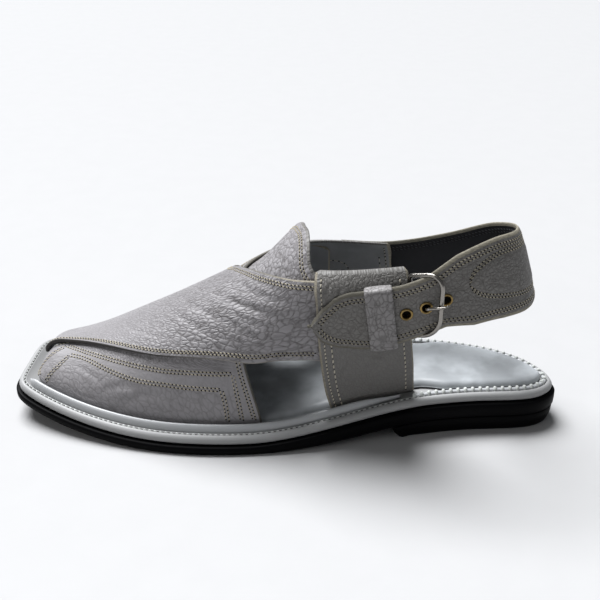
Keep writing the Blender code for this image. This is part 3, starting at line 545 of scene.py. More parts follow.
def lift(x):
    """Height that the toe springs up and the heel is pitched."""
    toe = TOE_SPRING * np.clip(1 - x / (TOE_LIFT_END * LENGTH), 0, None) ** 2
    return toe + HEEL_PITCH * soft_step(x, PITCH_START * LENGTH, PITCH_END * LENGTH)


def outsole_bottom(x):
    """Lower face of the outsole, thicker through the waist."""
    return lift(x) - WAIST_GROWTH * soft_step(x, PITCH_START * LENGTH, WAIST_END * LENGTH)


def midsole_bottom(x):
    """Joint between outsole and midsole."""
    return lift(x) + OUTSOLE_THICKNESS + GAP


def deck(x):
    """Upper face of the midsole."""
    return midsole_bottom(x) + MIDSOLE_THICKNESS


SIDE_STATIONS = 96
EDGE = outline(OUTSOLE_EDGE, 44)
ORIGIN = np.array([*(EDGE.min(0) + EDGE.max(0)) / 2, 0.0])
print("the origin lies", ORIGIN.round(5), "m from the toe line")


# %% The last
def side_line(offset, inner):
    """One side of an outline as rising x and y; the offset may differ from station to station."""
    points = one_side(outline(offset, SIDE_STATIONS), inner)
    points = points[points[:, 0].argmin():]
    highest = np.maximum.accumulate(points[:, 0])
    rising = np.concatenate([[True], points[1:, 0] > highest[:-1] + 1e-6])
    return points[rising, 0], points[rising, 1]


FOOT_OUTER = side_line(-FOOT_INSET, False)
FOOT_INNER = side_line(-FOOT_INSET, True)
PLACE_STEP = 0.0006
GIRTH_STEP = 0.004


def last_point(x, girth):
    """Superellipse section: y follows |cos|^(2/n) and z |sin|^(2/n) of half a turn times the girth share."""
    place = x / LENGTH
    ridge = spline(LAST, 1, place) * INSTEP_HEIGHT
    square = spline(LAST, 2, place)
    ridge_y = spline(LAST, 5, place) * HALF_BALL
    angle = np.pi * girth
    across = np.cos(angle)
    rise = np.clip(np.sin(angle), 1e-9, None) ** (2 / square)
    width = np.where(across > 0, ridge_y - np.interp(x, *FOOT_OUTER), np.interp(x, *FOOT_INNER) - ridge_y)
    lean = np.where(across > 0, spline(LAST, 3, place), spline(LAST, 4, place)) * HALF_BALL
    y = ridge_y - width * np.sign(across) * np.abs(across) ** (2 / square) - lean * np.sin(2 * angle)
    return np.stack([x, y, deck(x) + GAP + ridge * rise], axis=-1)


def on_last(x, girth, rise=0.0):
    """Point at a distance outside the last along its normal, the cross product of its two directions."""
    x, girth, rise = np.broadcast_arrays(*(np.asarray(value, float) for value in (x, girth, rise)))
    along = last_point(x + PLACE_STEP, girth) - last_point(x - PLACE_STEP, girth)
    after = last_point(x, np.clip(girth + GIRTH_STEP, 0, 1))
    before = last_point(x, np.clip(girth - GIRTH_STEP, 0, 1))
    return last_point(x, girth) + rise[..., None] * unit(np.cross(along, after - before))


def girth_at(x, height):
    """Girth share of the outer side at a height above the deck."""
    place = x / LENGTH
    share = np.clip(height / (spline(LAST, 1, place) * INSTEP_HEIGHT), 0, 1)
    return np.arcsin(share ** (spline(LAST, 2, place) / 2)) / np.pi


# %% [markdown]
# ## From arrays to pieces
# Each piece is a grid of points, a function of two parameters. One helper joins the grid into quads,
# another closes a leather sheet: the face, the flesh side and a rounded cut edge between them. A
# Solidify modifier could thicken a sheet too, but then the edge would be square and would share the
# leather's finish.


# %% Mesh helpers
def quads(rows, columns, wrap=False):
    """Corner numbers of the quads of a grid; wrap joins the last column to the first."""
    index = np.arange(rows * columns).reshape(rows, columns)
    if wrap:
        index = np.column_stack([index, index[:, :1]])
    return np.stack([index[:-1, :-1], index[:-1, 1:], index[1:, 1:], index[1:, :-1]], -1).reshape(-1, 4)


def piece(name, points, faces, finishes, stands_for=(), finish_of=None, flow=None, grain=None):
    """Object from points in shoe coordinates and a list of face arrays, riding on the shoe."""
    mesh = bpy.data.meshes.new(name)
    points = np.asarray(points, float).reshape(-1, 3) - ORIGIN
    sizes = np.concatenate([np.full(len(part), part.shape[1]) for part in faces])
    corners = np.concatenate([part.ravel() for part in faces]).astype(np.int32)
    mesh.vertices.add(len(points))
    mesh.vertices.foreach_set("co", points.astype(np.float32).ravel())
    mesh.loops.add(len(corners))
    mesh.loops.foreach_set("vertex_index", corners)
    mesh.polygons.add(len(sizes))
    mesh.polygons.foreach_set("loop_start", np.concatenate([[0], np.cumsum(sizes)[:-1]]).astype(np.int32))
    for finish in finishes:
        mesh.materials.append(finish)
    if finish_of is not None:
        mesh.polygons.foreach_set("material_index", np.asarray(finish_of, dtype=np.int32))
    mesh.update(calc_edges=True)
    mesh.shade_smooth()
    if flow is not None:
        layer = mesh.uv_layers.new(name="flow")
        layer.data.foreach_set("uv", np.asarray(flow, dtype=np.float32).reshape(-1, 2)[corners].ravel())
        amount = mesh.attributes.new("grain", "FLOAT", "POINT")
        strength = np.ones(len(points)) if grain is None else np.asarray(grain, float).ravel()
        amount.data.foreach_set("value", strength.astype(np.float32))
    made = bpy.data.objects.new(name, mesh)
    bpy.context.scene.collection.objects.link(made)
    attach(made, "root")
    if stands_for:
        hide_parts(*stands_for)
    print(f"{name}: {len(points)} points, {len(sizes)} faces")
    return made


def caps(levels, count, pole):
    """Triangles from the first of some rings to a pole, and from the last to the next pole."""
    i = np.arange(count)
    after = (i + 1) % count
    last = (levels - 1) * count
    return np.vstack([np.stack([np.full(count, pole), after, i], -1),
                      np.stack([np.full(count, pole + 1), last + i, last + after], -1)])


def flow_of(grid, size=1.0):
    """Metres along the rows and across the columns of a grid, divided by the size of its pebbles."""
    size = np.broadcast_to(size, grid.shape[:2])
    along = (np.linalg.norm(np.diff(grid, axis=0), axis=-1) / size[1:]).mean(axis=1)
    u = np.concatenate([[0.0], np.cumsum(along)])[:, None] * np.ones(grid.shape[1])
    across = np.linalg.norm(np.diff(grid, axis=1), axis=-1) / size[:, 1:]
    v = np.concatenate([np.zeros((len(grid), 1)), np.cumsum(across, axis=1)], axis=1)
    return np.stack([u, v - v[:, grid.shape[1] // 2][:, None]], axis=-1)


# %% Leather with a face, a flesh side and an edge
def border(rows, columns):
    """Numbers of a grid's outer points in order round it, with the number of the point inside each."""
    index = np.arange(rows * columns).reshape(rows, columns)
    ring = np.concatenate([index[0, :-1], index[:-1, -1], index[-1, :0:-1], index[:0:-1, 0]])
    inside = np.concatenate([index[1, :-1], index[:-1, -2], index[-2, :0:-1], index[:0:-1, 1]])
    side = np.repeat([0, 1, 2, 3], [columns - 1, rows - 1, columns - 1, rows - 1])
    return ring, inside, side


EDGE_RINGS = 5


def sheet(name, outer, inner, finishes, stands_for=(), edge_finish=(2, 2, 2, 2), bulge=0.5, grain=None,
          flow=None):
    """Leather with a face, a flesh side and an edge that bulges by a half sine between them."""
    rows, columns = outer.shape[:2]
    count = rows * columns
    face = quads(rows, columns)
    ring, inside, side = border(rows, columns)
    flat_outer = outer.reshape(-1, 3)
    flat_inner = inner.reshape(-1, 3)
    away = unit(flat_outer[ring] - flat_outer[inside])
    thick = np.linalg.norm(flat_outer[ring] - flat_inner[ring], axis=1)[:, None]
    share = np.arange(1, EDGE_RINGS)[:, None, None] / EDGE_RINGS
    rings = flat_outer[ring] * (1 - share) + flat_inner[ring] * share
    rings = rings + away * thick * bulge * np.sin(np.pi * share)
    numbers = np.vstack([ring, 2 * count + np.arange(rings.shape[0] * len(ring)).reshape(-1, len(ring)),
                         count + ring])
    numbers = np.column_stack([numbers, numbers[:, :1]])
    wall = np.stack([numbers[:-1, :-1], numbers[1:, :-1], numbers[1:, 1:], numbers[:-1, 1:]], -1)
    wall_finish = np.tile(np.asarray(edge_finish)[side], len(numbers) - 1)
    faces = np.vstack([face, face[:, ::-1] + count, wall.reshape(-1, 4)])
    finish_of = np.concatenate([np.zeros(len(face)), np.ones(len(face)), wall_finish])
    middle = (rows // 2) * columns + columns // 2
    corner = flat_outer[middle]
    normal = np.cross(flat_outer[middle + columns] - corner, flat_outer[middle + 1] - corner)
    if normal @ (corner - flat_inner[middle]) > 0:
        faces = faces[:, ::-1]
    if flow is None:
        flow = flow_of(outer)
    flow = np.asarray(flow).reshape(-1, 2)
    flows = np.vstack([flow, flow, np.tile(flow[ring], (rings.shape[0], 1))])
    strength = np.ones(count) if grain is None else np.asarray(grain, float).ravel()
    strengths = np.concatenate([strength, strength, np.tile(strength[ring], rings.shape[0])])
    return piece(name, np.vstack([flat_outer, flat_inner, rings.reshape(-1, 3)]), [faces], finishes,
                 stands_for, finish_of, flows, strengths)


# %% Rings
def stack_of_rings(name, rings, finish, stands_for=()):
    """Closed solid from rings one above the other, its ends closed by rungs from side to side."""
    rings = np.asarray(rings)
    levels, count = rings.shape[:2]
    half = count // 2
    i = np.arange(1, half - 1)
    rungs = np.stack([i, i + 1, count - i - 1, count - i], -1)
    tips = np.array([[0, 1, count - 1], [half - 1, half, half + 1]])
    top = (levels - 1) * count
    faces = [quads(levels, count, wrap=True), rungs[:, ::-1], rungs + top, tips[:, ::-1], tips + top]
    return piece(name, rings, faces, [finish], stands_for)


def layer(low, high, profile):
    """Rings of a layer: for each row of offset, share and rise the outline moved out by the offset, at that
    share of the way from the low to the high face, plus the rise."""
    rings = []
    for offset, share, rise in profile:
        ring = outline(offset)
        x = ring[:, 0]
        rings.append(np.column_stack([ring, low(x) * (1 - share) + high(x) * share + rise]))
    return rings


# %% Reading a face
EDGE_CELLS = 6


class Face:
    """Outer face of a piece: its points and outward normals, read between grid lines by a bilinear mix."""

    def __init__(self, grid, away_from):
        self.grid = grid
        normal = unit(np.cross(np.gradient(grid, axis=0), np.gradient(grid, axis=1)))
        flip = np.sign(np.sum(normal * (grid - away_from), axis=-1).mean())
        self.normal = normal * flip
        self.across = np.linalg.norm(np.diff(grid, axis=1), axis=-1).cumsum(axis=1)

    def read(self, field, a, b):
        rows, columns = field.shape[:2]
        i = np.clip(a, 0, 1) * (rows - 1)
        j = np.clip(b, 0, 1) * (columns - 1)
        i0 = np.minimum(i.astype(int), rows - 2)
        j0 = np.minimum(j.astype(int), columns - 2)
        u = (i - i0)[:, None]
        v = (j - j0)[:, None]
        near = field[i0, j0] * (1 - v) + field[i0, j0 + 1] * v
        far = field[i0 + 1, j0] * (1 - v) + field[i0 + 1, j0 + 1] * v
        return near * (1 - u) + far * u

    def beside(self, edge, distance, start, end, count=200):
        """Line at a distance in from the front edge, b = 0, or from the rear edge, b = 1."""
        t = np.linspace(start, end, count)
        i = np.round(t * (len(self.across) - 1)).astype(int)
        if edge == "front":
            width = self.across[i, EDGE_CELLS - 1] / EDGE_CELLS
        else:
            width = (self.across[i, -1] - self.across[i, -1 - EDGE_CELLS]) / EDGE_CELLS
        share = distance / width / (self.grid.shape[1] - 1)
        return (t, share) if edge == "front" else (t, 1 - share)


def drawn(table, count=240):
    """Smooth line through a few given places of a piece, as its two parameters."""
    rows = np.column_stack([run(table), table])
    t = np.linspace(0, rows[-1, 0], count)
    return spline(rows, 1, t), spline(rows, 2, t)


CREASE_RIDGE = 0.4


def creased(grid, away_from, creases):
    """Sinks creases into a face: depth * exp(-(d / w)^2) below it at a distance d from each line, and a low
    ridge beside it."""
    face = Face(grid, away_from)
    flow = flow_of(grid)
    sunk = np.zeros(grid.shape[:2])
    for depth, width, table in creases:
        a, b = drawn(table, 48)
        path = face.read(flow, a, b)
        gap = np.linalg.norm(flow[:, :, None, :] - path, axis=-1)
        nearest = gap.argmin(axis=-1) / (len(path) - 1)
        gap = gap.min(axis=-1)
        fade = np.sin(np.pi * np.clip(nearest, 0.02, 0.98)) ** 0.6
        trough = np.exp(-(gap / width) ** 2)
        ridge = CREASE_RIDGE * np.exp(-((gap - 2 * width) / width) ** 2)
        sunk += depth * fade * (trough - ridge)
    return grid - face.normal * sunk[..., None]


# %% [markdown]
# ## Sole
# The sole is three layers: a black outsole with its heel, a grey midsole and, on its ledge, a sewn
# channel. Each layer is the plan outline at a few offsets and heights, one ring above the other, so
# its edge can be round where the maker's file has passed. An extruded outline with a bevel would be
# quicker, but then every layer would have the same edge all round.

# %% Sole pieces
OUTSOLE_PROFILE = (
    # offset, share of the thickness, rise
    (OUTSOLE_EDGE - 0.0016, 0.0, 0.0),
    (OUTSOLE_EDGE - 0.0006, 0.0, 0.0003),
    (OUTSOLE_EDGE - 0.0001, 0.0, 0.0012),
    (OUTSOLE_EDGE, 0.5, 0.0),
    (OUTSOLE_EDGE - 0.0001, 1.0, -0.0009),
    (OUTSOLE_EDGE - 0.0006, 1.0, -0.0003),
    (OUTSOLE_EDGE - 0.0016, 1.0, -0.0001),
)
MIDSOLE_PROFILE = (
    # offset, share of the thickness, rise
    (-0.0014, 0.0, 0.0),
    (-0.0004, 0.0, 0.0004),
    (0.0003, 0.0, 0.0013),
    (0.0005, 0.0, 0.0024),
    (0.0003, 1.0, -0.0017),
    (-0.0003, 1.0, -0.0008),
    (-0.0011, 1.0, -0.0002),
    (-0.0019, 1.0, 0.0),
    (-0.0023, 1.0, -0.0001),
    (-0.0025, 1.0, -0.0005),
    (-0.0031, 1.0, -0.0005),
    (-0.0033, 1.0, 0.0),
    (-0.0036, 1.0, 0.0),
    (-0.0039, 1.0, -0.0006),
)
stack_of_rings("outsole_dressed", layer(outsole_bottom, midsole_bottom, OUTSOLE_PROFILE), BLACK_RUBBER,
               ("outsole",))
stack_of_rings("midsole_dressed", layer(midsole_bottom, deck, MIDSOLE_PROFILE), GREY_RUBBER,
               ("midsole",))

# %% Heel block
HEEL_BREAST = 0.700
HEEL_UNDERCUT = 0.0018
HEEL_BREAST_SLOPE = 0.0040
HEEL_CORNER = 0.003
HEEL_JOIN = LENGTH / 60
HEEL_PROFILE = (
    # inset, share of the height, rise, slope of the breast
    (HEEL_UNDERCUT + 0.0014, 0.0, 0.0, HEEL_BREAST_SLOPE + 0.0006),
    (HEEL_UNDERCUT + 0.0004, 0.0, 0.0004, HEEL_BREAST_SLOPE),
    (HEEL_UNDERCUT, 0.0, 0.0014, HEEL_BREAST_SLOPE * 0.8),
    (HEEL_UNDERCUT / 2, 0.5, 0.0, HEEL_BREAST_SLOPE * 0.4),
    (0.0006, 1.0, -0.0005, 0.0003),
    (0.0010, 1.0, -0.0001, 0.0),
)


def heel_ring(inset, share, rise, slope):
    """Outline behind the breast, closed by a straight front whose corners are rounded by a few points."""
    ring = outline(OUTSOLE_EDGE - inset)
    breast = HEEL_BREAST * LENGTH + slope
    start = HEEL_BREAST * LENGTH + HEEL_BREAST_SLOPE + HEEL_JOIN
    sides = [one_side(ring, inner) for inner in (False, True)]
    near_y, far_y = [np.interp(breast, side[:, 0], side[:, 1]) for side in sides]
    stations = [one_side(outline(0.0), inner)[:, 0] for inner in (False, True)]
    near_kept, far_kept = [side[x > start] for side, x in zip(sides, stations)]
    steps = np.linspace(0, np.pi / 2, 7)
    bend = HEEL_CORNER * np.column_stack([1 - np.cos(steps), 1 - np.sin(steps)])
    near_corner = np.column_stack([breast + bend[:, 0], near_y + bend[:, 1]])
    far_corner = np.column_stack([breast + bend[:, 0], far_y - bend[:, 1]])
    middle = (near_y + far_y) / 2
    plan = np.vstack([[[breast, middle]], near_corner, near_kept, far_kept[::-1][1:], far_corner[::-1]])
    return np.column_stack([plan, outsole_bottom(plan[:, 0]) * share + rise])


stack_of_rings("heel_dressed", [heel_ring(*row) for row in HEEL_PROFILE], BLACK_RUBBER,
               ("heel_block",))


# %% Skins over rings along a path
def tube(name, rings, finish, stands_for=(), closed=False):
    """Skin over rings that follow a path: quads between them and a fan of triangles over each open end."""
    levels, count = rings.shape[:2]
    points = rings.reshape(-1, 3)
    if closed:
        walls = quads(levels + 1, count, wrap=True) % (levels * count)
        return piece(name, points, [walls], [finish], stands_for)
    points = np.vstack([points, rings[0].mean(0), rings[-1].mean(0)])
    faces = [quads(levels, count, wrap=True), caps(levels, count, levels * count)]
    return piece(name, points, faces, [finish], stands_for)


def rings_on(path, outward, upward, width, height, profile):
    """Rings of a profile: path + outward * a * width + upward * b * height for each (a, b)."""
    width = np.broadcast_to(np.asarray(width, float), len(path))[:, None, None]
    height = np.broadcast_to(np.asarray(height, float), len(path))[:, None, None]
    across = outward[:, None, :] * profile[None, :, :1] * width
    return path[:, None, :] + across + upward[:, None, :] * profile[None, :, 1:] * height


# %% Rolled strips on the ledge
def level_frame(path):
    """Directions to the left of a path in the plan, and upwards, at each of its points."""
    along = np.gradient(path[:, :2], axis=0)
    left = unit(np.column_stack([-along[:, 1], along[:, 0], np.zeros(len(path))]))
    return left, np.tile([0.0, 0.0, 1.0], (len(path), 1))


RAND_SHARE = 0.74
RAND_TAPER = 0.10
RAND_END = 0.35
RAND_ANGLES = np.linspace(0, np.pi, 17)
RAND_PROFILE = np.vstack([np.column_stack([RAND_SHARE * np.cos(RAND_ANGLES), np.sin(RAND_ANGLES)]),
                          [[-RAND_SHARE + 0.02, -0.12], [RAND_SHARE - 0.02, -0.12]]])


def rand(name, ends, inner, stands_for):
    """Half-round strip beside the foot line, tapering at both ends."""
    line = one_side(outline(-LEDGE_WIDTH - RAND_WIDTH / 2, SIDE_STATIONS), inner)
    first, last = [int(end * (len(line) - 1)) for end in ends]
    fine = np.linspace(first, last, 3 * (last - first) + 1)
    table = np.column_stack([np.arange(len(line)), line])
    path = np.column_stack([spline(table, column, fine) for column in (1, 2)])
    path = np.column_stack([path, deck(path[:, 0])])
    out, up = level_frame(path)
    share = np.linspace(0, 1, len(path))
    taper = np.minimum(soft_step(share, 0, RAND_TAPER), soft_step(1 - share, 0, RAND_TAPER))
    size = RAND_END + (1 - RAND_END) * taper
    rings = rings_on(path, out, up, RAND_WIDTH / 2 * size, RAND_HEIGHT * size, RAND_PROFILE)
    tube(name, rings, GREY_ROLL, stands_for)


rand("rand_outer_dressed", (0.060, 0.655), False, ("rand_outer",))
rand("rand_inner_dressed", (0.085, 0.640), True, ("rand_inner",))

# %% [markdown]
# ## Crossed straps
# Two wide straps make the upper. Each starts under the sole on its own side and crosses the ridge to
# the ankle panel of the other side. Both are cut from the last's own formula, by the place and girth
# of their front and rear edges, and the one on top stands a leather's thickness higher. They could be
# draped over the last as cloth, but then their edges would slide away from the seams.

# %% Strap tables
UNDER_STRAP = np.array([
    # share, front_x, front_g, rear_x, rear_g
    (0.00, 0.060, 0.000, 0.465, 0.000),
    (0.10, 0.043, 0.100, 0.449, 0.080),
    (0.20, 0.039, 0.240, 0.438, 0.150),
    (0.30, 0.039, 0.350, 0.428, 0.240),
    (0.40, 0.045, 0.440, 0.418, 0.340),
    (0.50, 0.075, 0.455, 0.411, 0.420),
    (0.60, 0.125, 0.540, 0.423, 0.480),
    (0.70, 0.240, 0.700, 0.440, 0.555),
    (0.80, 0.350, 0.785, 0.478, 0.665),
    (0.90, 0.467, 0.862, 0.528, 0.765),
    (1.00, 0.580, 0.955, 0.580, 0.845),
])
OVER_STRAP = np.array([
    # share, front_x, front_g, rear_x, rear_g
    (0.00, 0.060, 0.000, 0.465, 0.000),
    (0.10, 0.043, 0.100, 0.449, 0.080),
    (0.20, 0.039, 0.240, 0.438, 0.150),
    (0.30, 0.039, 0.360, 0.428, 0.240),
    (0.40, 0.043, 0.470, 0.418, 0.340),
    (0.50, 0.060, 0.530, 0.411, 0.420),
    (0.60, 0.120, 0.585, 0.423, 0.480),
    (0.70, 0.240, 0.714, 0.449, 0.545),
    (0.80, 0.350, 0.787, 0.485, 0.637),
    (0.90, 0.467, 0.862, 0.528, 0.723),
    (1.00, 0.580, 0.955, 0.585, 0.790),
])
CROSSING_RISE = 0.0015
LIP_RISE = 0.0018
OVER_THICKNESS = 0.0018
LIP_GROWTH = 0.0007


def strap_grid(rows, steps, columns):
    """Place and girth share over a strap: its two edges from the table, straight between them."""
    share = np.linspace(0, 1, steps)[:, None]
    across = np.linspace(0, 1, columns)[None, :]
    x = LENGTH * (spline(rows, 1, share) * (1 - across) + spline(rows, 3, share) * across)
    girth = np.clip(spline(rows, 2, share) * (1 - across) + spline(rows, 4, share) * across, 0, 1)
    return share, across, x, girth


def over_rise(share, across, x, girth):
    """How far the top strap stands off the last: a leather over the other strap, and more at its lip."""
    up = soft_step(girth, 0.02, 0.16)
    down = 1 - soft_step(x / LENGTH, 0.43, 0.54) * soft_step(girth, 0.5, 0.65)
    lip = soft_step(share, 0.35, 0.50) * (1 - soft_step(share, 0.55, 0.95))
    return CROSSING_RISE * up * down + LIP_RISE * lip * (1 - soft_step(across, 0, 0.35))


# %% Seam lines and creases of the straps
# each place as the share along the strap and the share across it
TOE_LINE = ((0.115, 0.008), (0.237, 0.017), (0.317, 0.067), (0.385, 0.120))
LONG_LINE = ((0.385, 0.120), (0.337, 0.208), (0.283, 0.342), (0.243, 0.467), (0.220, 0.567), (0.203, 0.667),
             (0.190, 0.783), (0.177, 0.880), (0.170, 0.945))
DOWN_LINE = ((0.170, 0.945), (0.133, 0.943), (0.077, 0.937), (0.010, 0.925))
INNER_TOE_LINE = ((0.070, 0.030), (0.167, 0.083), (0.240, 0.125), (0.302, 0.158))
INNER_LONG_LINE = ((0.302, 0.158), (0.283, 0.233), (0.233, 0.333), (0.193, 0.433), (0.170, 0.525),
                   (0.157, 0.625), (0.140, 0.733), (0.127, 0.820), (0.117, 0.880))
INNER_DOWN_LINE = ((0.117, 0.880), (0.083, 0.880), (0.010, 0.862))
UNDER_CREASES = (
    # depth, width, line
    (0.00028, 0.0017, ((0.233, 0.200), (0.183, 0.292), (0.137, 0.358))),
    (0.00036, 0.0021, ((0.010, 0.342), (0.107, 0.500), (0.113, 0.650), (0.080, 0.758))),
    (0.00028, 0.0019, ((0.063, 0.592), (0.073, 0.708), (0.043, 0.792))),
    (0.00032, 0.0019, ((0.103, 0.317), (0.150, 0.442), (0.127, 0.550))),
    (0.00024, 0.0015, ((0.100, 0.167), (0.070, 0.225), (0.077, 0.308))),
    (0.00040, 0.0006, ((0.000, 0.958), (0.100, 0.962), (0.200, 0.966), (0.300, 0.970))),
)
OVER_CREASES = (
    # depth, width, line
    (0.00040, 0.0019, ((0.697, 0.858), (0.773, 0.850), (0.847, 0.800), (0.897, 0.742), (0.940, 0.642))),
    (0.00044, 0.0019, ((0.753, 0.692), (0.813, 0.683), (0.867, 0.608), (0.910, 0.483), (0.943, 0.383))),
    (0.00040, 0.0019, ((0.823, 0.550), (0.877, 0.467), (0.920, 0.333), (0.957, 0.217))),
    (0.00032, 0.0017, ((0.817, 0.400), (0.860, 0.358), (0.910, 0.225))),
    (0.00032, 0.0017, ((0.713, 0.958), (0.807, 0.925), (0.880, 0.850), (0.927, 0.783))),
    (0.00036, 0.0017, ((0.610, 0.542), (0.687, 0.450), (0.743, 0.375), (0.807, 0.275))),
    (0.00040, 0.0019, ((0.637, 0.625), (0.733, 0.525), (0.803, 0.467), (0.857, 0.392))),
    (0.00036, 0.0019, ((0.650, 0.775), (0.747, 0.692), (0.827, 0.667), (0.887, 0.575))),
    (0.00024, 0.0015, ((0.590, 0.325), (0.677, 0.217), (0.727, 0.200))),
)
SHOE_MIDDLE = np.array([0.13, 0.0, 0.03])
BAND_EDGE = 0.01
print(len(UNDER_CREASES), "creases on the lower strap and", len(OVER_CREASES), "on the upper one")


def under_grain(share, across):
    """Relief and pebble size of the lower strap: fine above the sewn band, nearly flat in it, full below."""
    lower, upper = [np.interp(across, *np.array(line).T[::-1]) for line in (INNER_LONG_LINE, LONG_LINE)]
    above = soft_step(share, upper - BAND_EDGE, upper + BAND_EDGE)
    band = soft_step(share, lower - BAND_EDGE, lower + BAND_EDGE) * (1 - above)
    rear = soft_step(across, 0.90, 0.95)
    return (0.46 - 0.28 * band + 0.30 * above) * (1 - 0.7 * rear), 1.05 - 0.45 * above


# %% Straps
share, across, x, girth = strap_grid(UNDER_STRAP, 300, 110)
relief, size = under_grain(share, across)
under_outer = creased(on_last(x, girth, LEATHER), SHOE_MIDDLE, UNDER_CREASES)
under_inner = on_last(x, girth, 0.0)
sheet("under_strap", under_outer, under_inner, [STRAP_LEATHER, STRAP_LINING, CUT_EDGE],
      ("upper",), grain=relief, flow=flow_of(under_outer, size))

share, across, x, girth = strap_grid(OVER_STRAP, 300, 120)
rise = over_rise(share, across, x, girth)
lip = soft_step(share, 0.35, 0.50) * (1 - soft_step(share, 0.60, 0.80)) * (1 - soft_step(across, 0, 0.12))
relief = 0.45 + 0.55 * soft_step(x, 0.12 * LENGTH, 0.38 * LENGTH)
relief = relief - 0.25 * (1 - soft_step(across, 0.02, 0.06))
size = 0.50 + 0.62 * soft_step(x, 0.16 * LENGTH, 0.50 * LENGTH)
over_outer = creased(on_last(x, 1 - girth, rise + LEATHER), SHOE_MIDDLE, OVER_CREASES)
over_inner = on_last(x, 1 - girth, rise + LEATHER - OVER_THICKNESS - LIP_GROWTH * lip)
sheet("over_strap", over_outer, over_inner, [STRAP_LEATHER, STRAP_LINING, CUT_EDGE, LIP_EDGE],
      ("upper",), edge_finish=(2, 2, 2, 3), grain=relief, flow=flow_of(over_outer, size))

# %% [markdown]
# ## Tongue and ankle panels
# The tongue fills the gap over the instep, and two upright panels hold the rear ends of the straps.
# All three are stitched to the straps on the last, so they are cut from the same formula: the tongue
# a little under the last's surface, the panels a little over it, with their top edge folded inwards.
# Flat sheets could be bent with a lattice, but then they would have to be fitted by eye.

# %% Tongue
TONGUE_EDGE = np.array([
    # girth, place
    (0.150, 0.583),
    (0.200, 0.575),
    (0.242, 0.562),
    (0.286, 0.550),
    (0.350, 0.545),
    (0.420, 0.543),
    (0.470, 0.539),
    (0.510, 0.531),
    (0.560, 0.523),
    (0.630, 0.519),
    (0.700, 0.513),
    (0.770, 0.508),
    (0.850, 0.507),
])
TONGUE_FRONT = 0.385
TONGUE_LEATHER = 0.0016
girth = np.linspace(TONGUE_EDGE[0, 0], TONGUE_EDGE[-1, 0], 180)[:, None]
share = np.linspace(0, 1, 70)[None, :]
x = LENGTH * (TONGUE_FRONT * (1 - share) + spline(TONGUE_EDGE, 1, girth) * share)
tongue_outer = on_last(x, girth, -GAP)
tongue_inner = on_last(x, girth, -GAP - TONGUE_LEATHER)
sheet("tongue_dressed", tongue_outer, tongue_inner, [STRAP_LEATHER, GREY_LINING, HEEL_SHADED_LEATHER],
      ("tongue",), bulge=1.0)

# %% Ankle panels
OUTER_PANEL = np.array([
    # height, front_x, rear_x
    (0.00, 0.594, 0.738),
    (0.15, 0.583, 0.734),
    (0.35, 0.574, 0.728),
    (0.60, 0.568, 0.720),
    (1.00, 0.566, 0.710),
])
INNER_PANEL = np.array([
    # height, front_x, rear_x
    (0.00, 0.560, 0.720),
    (0.15, 0.545, 0.716),
    (0.35, 0.527, 0.710),
    (0.60, 0.505, 0.702),
    (1.00, 0.497, 0.690),
])
OUTER_PANEL_TOP = 0.0985
INNER_PANEL_TOP = 0.0880
PANEL_RISE = 0.0023
PANEL_SWELL = 0.0012
PANEL_LEAN = 0.0046
FOLD_START = 0.885
OUTER_PANEL_CREASES = (
    # depth, width, line
    (0.00035, 0.0008, ((0.800, 0.130), (0.860, 0.190), (0.930, 0.260))),
    (0.00030, 0.0008, ((0.810, 0.240), (0.870, 0.310), (0.940, 0.370))),
    (0.00025, 0.0007, ((0.850, 0.380), (0.900, 0.420), (0.955, 0.450))),
    (0.00035, 0.0008, ((0.860, 0.060), (0.900, 0.090), (0.950, 0.140))),
    (0.00060, 0.0011, ((0.400, 0.530), (0.375, 0.620), (0.365, 0.720))),
    (0.00050, 0.0009, ((0.395, 0.570), (0.390, 0.680), (0.405, 0.790))),
    (0.00030, 0.0012, ((0.250, 0.160), (0.330, 0.240), (0.400, 0.330))),
)


def panel(name, rows, top, inner, creases, stands_for):
    """Upright panel from the foot line to a level top, standing off the last over the ends of the straps."""
    up = np.linspace(0, 1, 120)[:, None]
    across = np.linspace(0, 1, 80)[None, :]
    x = LENGTH * (spline(rows, 1, up) * (1 - across) + spline(rows, 2, up) * across)
    girth = girth_at(x, up * (top - deck(x)))
    girth = 1 - girth if inner else girth
    rise = PANEL_RISE * soft_step(up, 0, 0.30) + 0 * x
    swell = PANEL_SWELL * soft_step(up, 0.80, 0.90)
    lean = PANEL_LEAN * np.clip((up - FOLD_START) / (1 - FOLD_START), 0, 1) ** 1.6
    outer = creased(on_last(x, girth, rise + LEATHER + swell - lean), SHOE_MIDDLE, creases)
    inside = on_last(x, girth, rise - lean)
    sheet(name, outer, inside, [PANEL_SHADED_LEATHER, GREY_LINING, CUT_EDGE], (stands_for,),
          edge_finish=(0, 2, 0, 2), grain=0.5 + 0.5 * soft_step(up, 0.8, 0.9) + 0 * x)
    return outer, inside


outer_panel_face, outer_panel_lining = panel("outer_panel_dressed", OUTER_PANEL, OUTER_PANEL_TOP, False,
                                             OUTER_PANEL_CREASES, "ankle_panel_outer")
inner_panel_face, inner_panel_lining = panel("inner_panel_dressed", INNER_PANEL, INNER_PANEL_TOP, True, (),
                                             "ankle_panel_inner")

# %% [markdown]
# ## Heel strap
# One strap runs from the inner panel round the heel, through the buckle and the keeper, and ends in
# a point. Its route is a spline through a few places chosen along the shoe. At each place the strap
# has a width and a lean, and where it is seated on a panel, the panel's own face gives its side. A
# curve object could carry a flat section along the same route, but not the padding of the leaf.

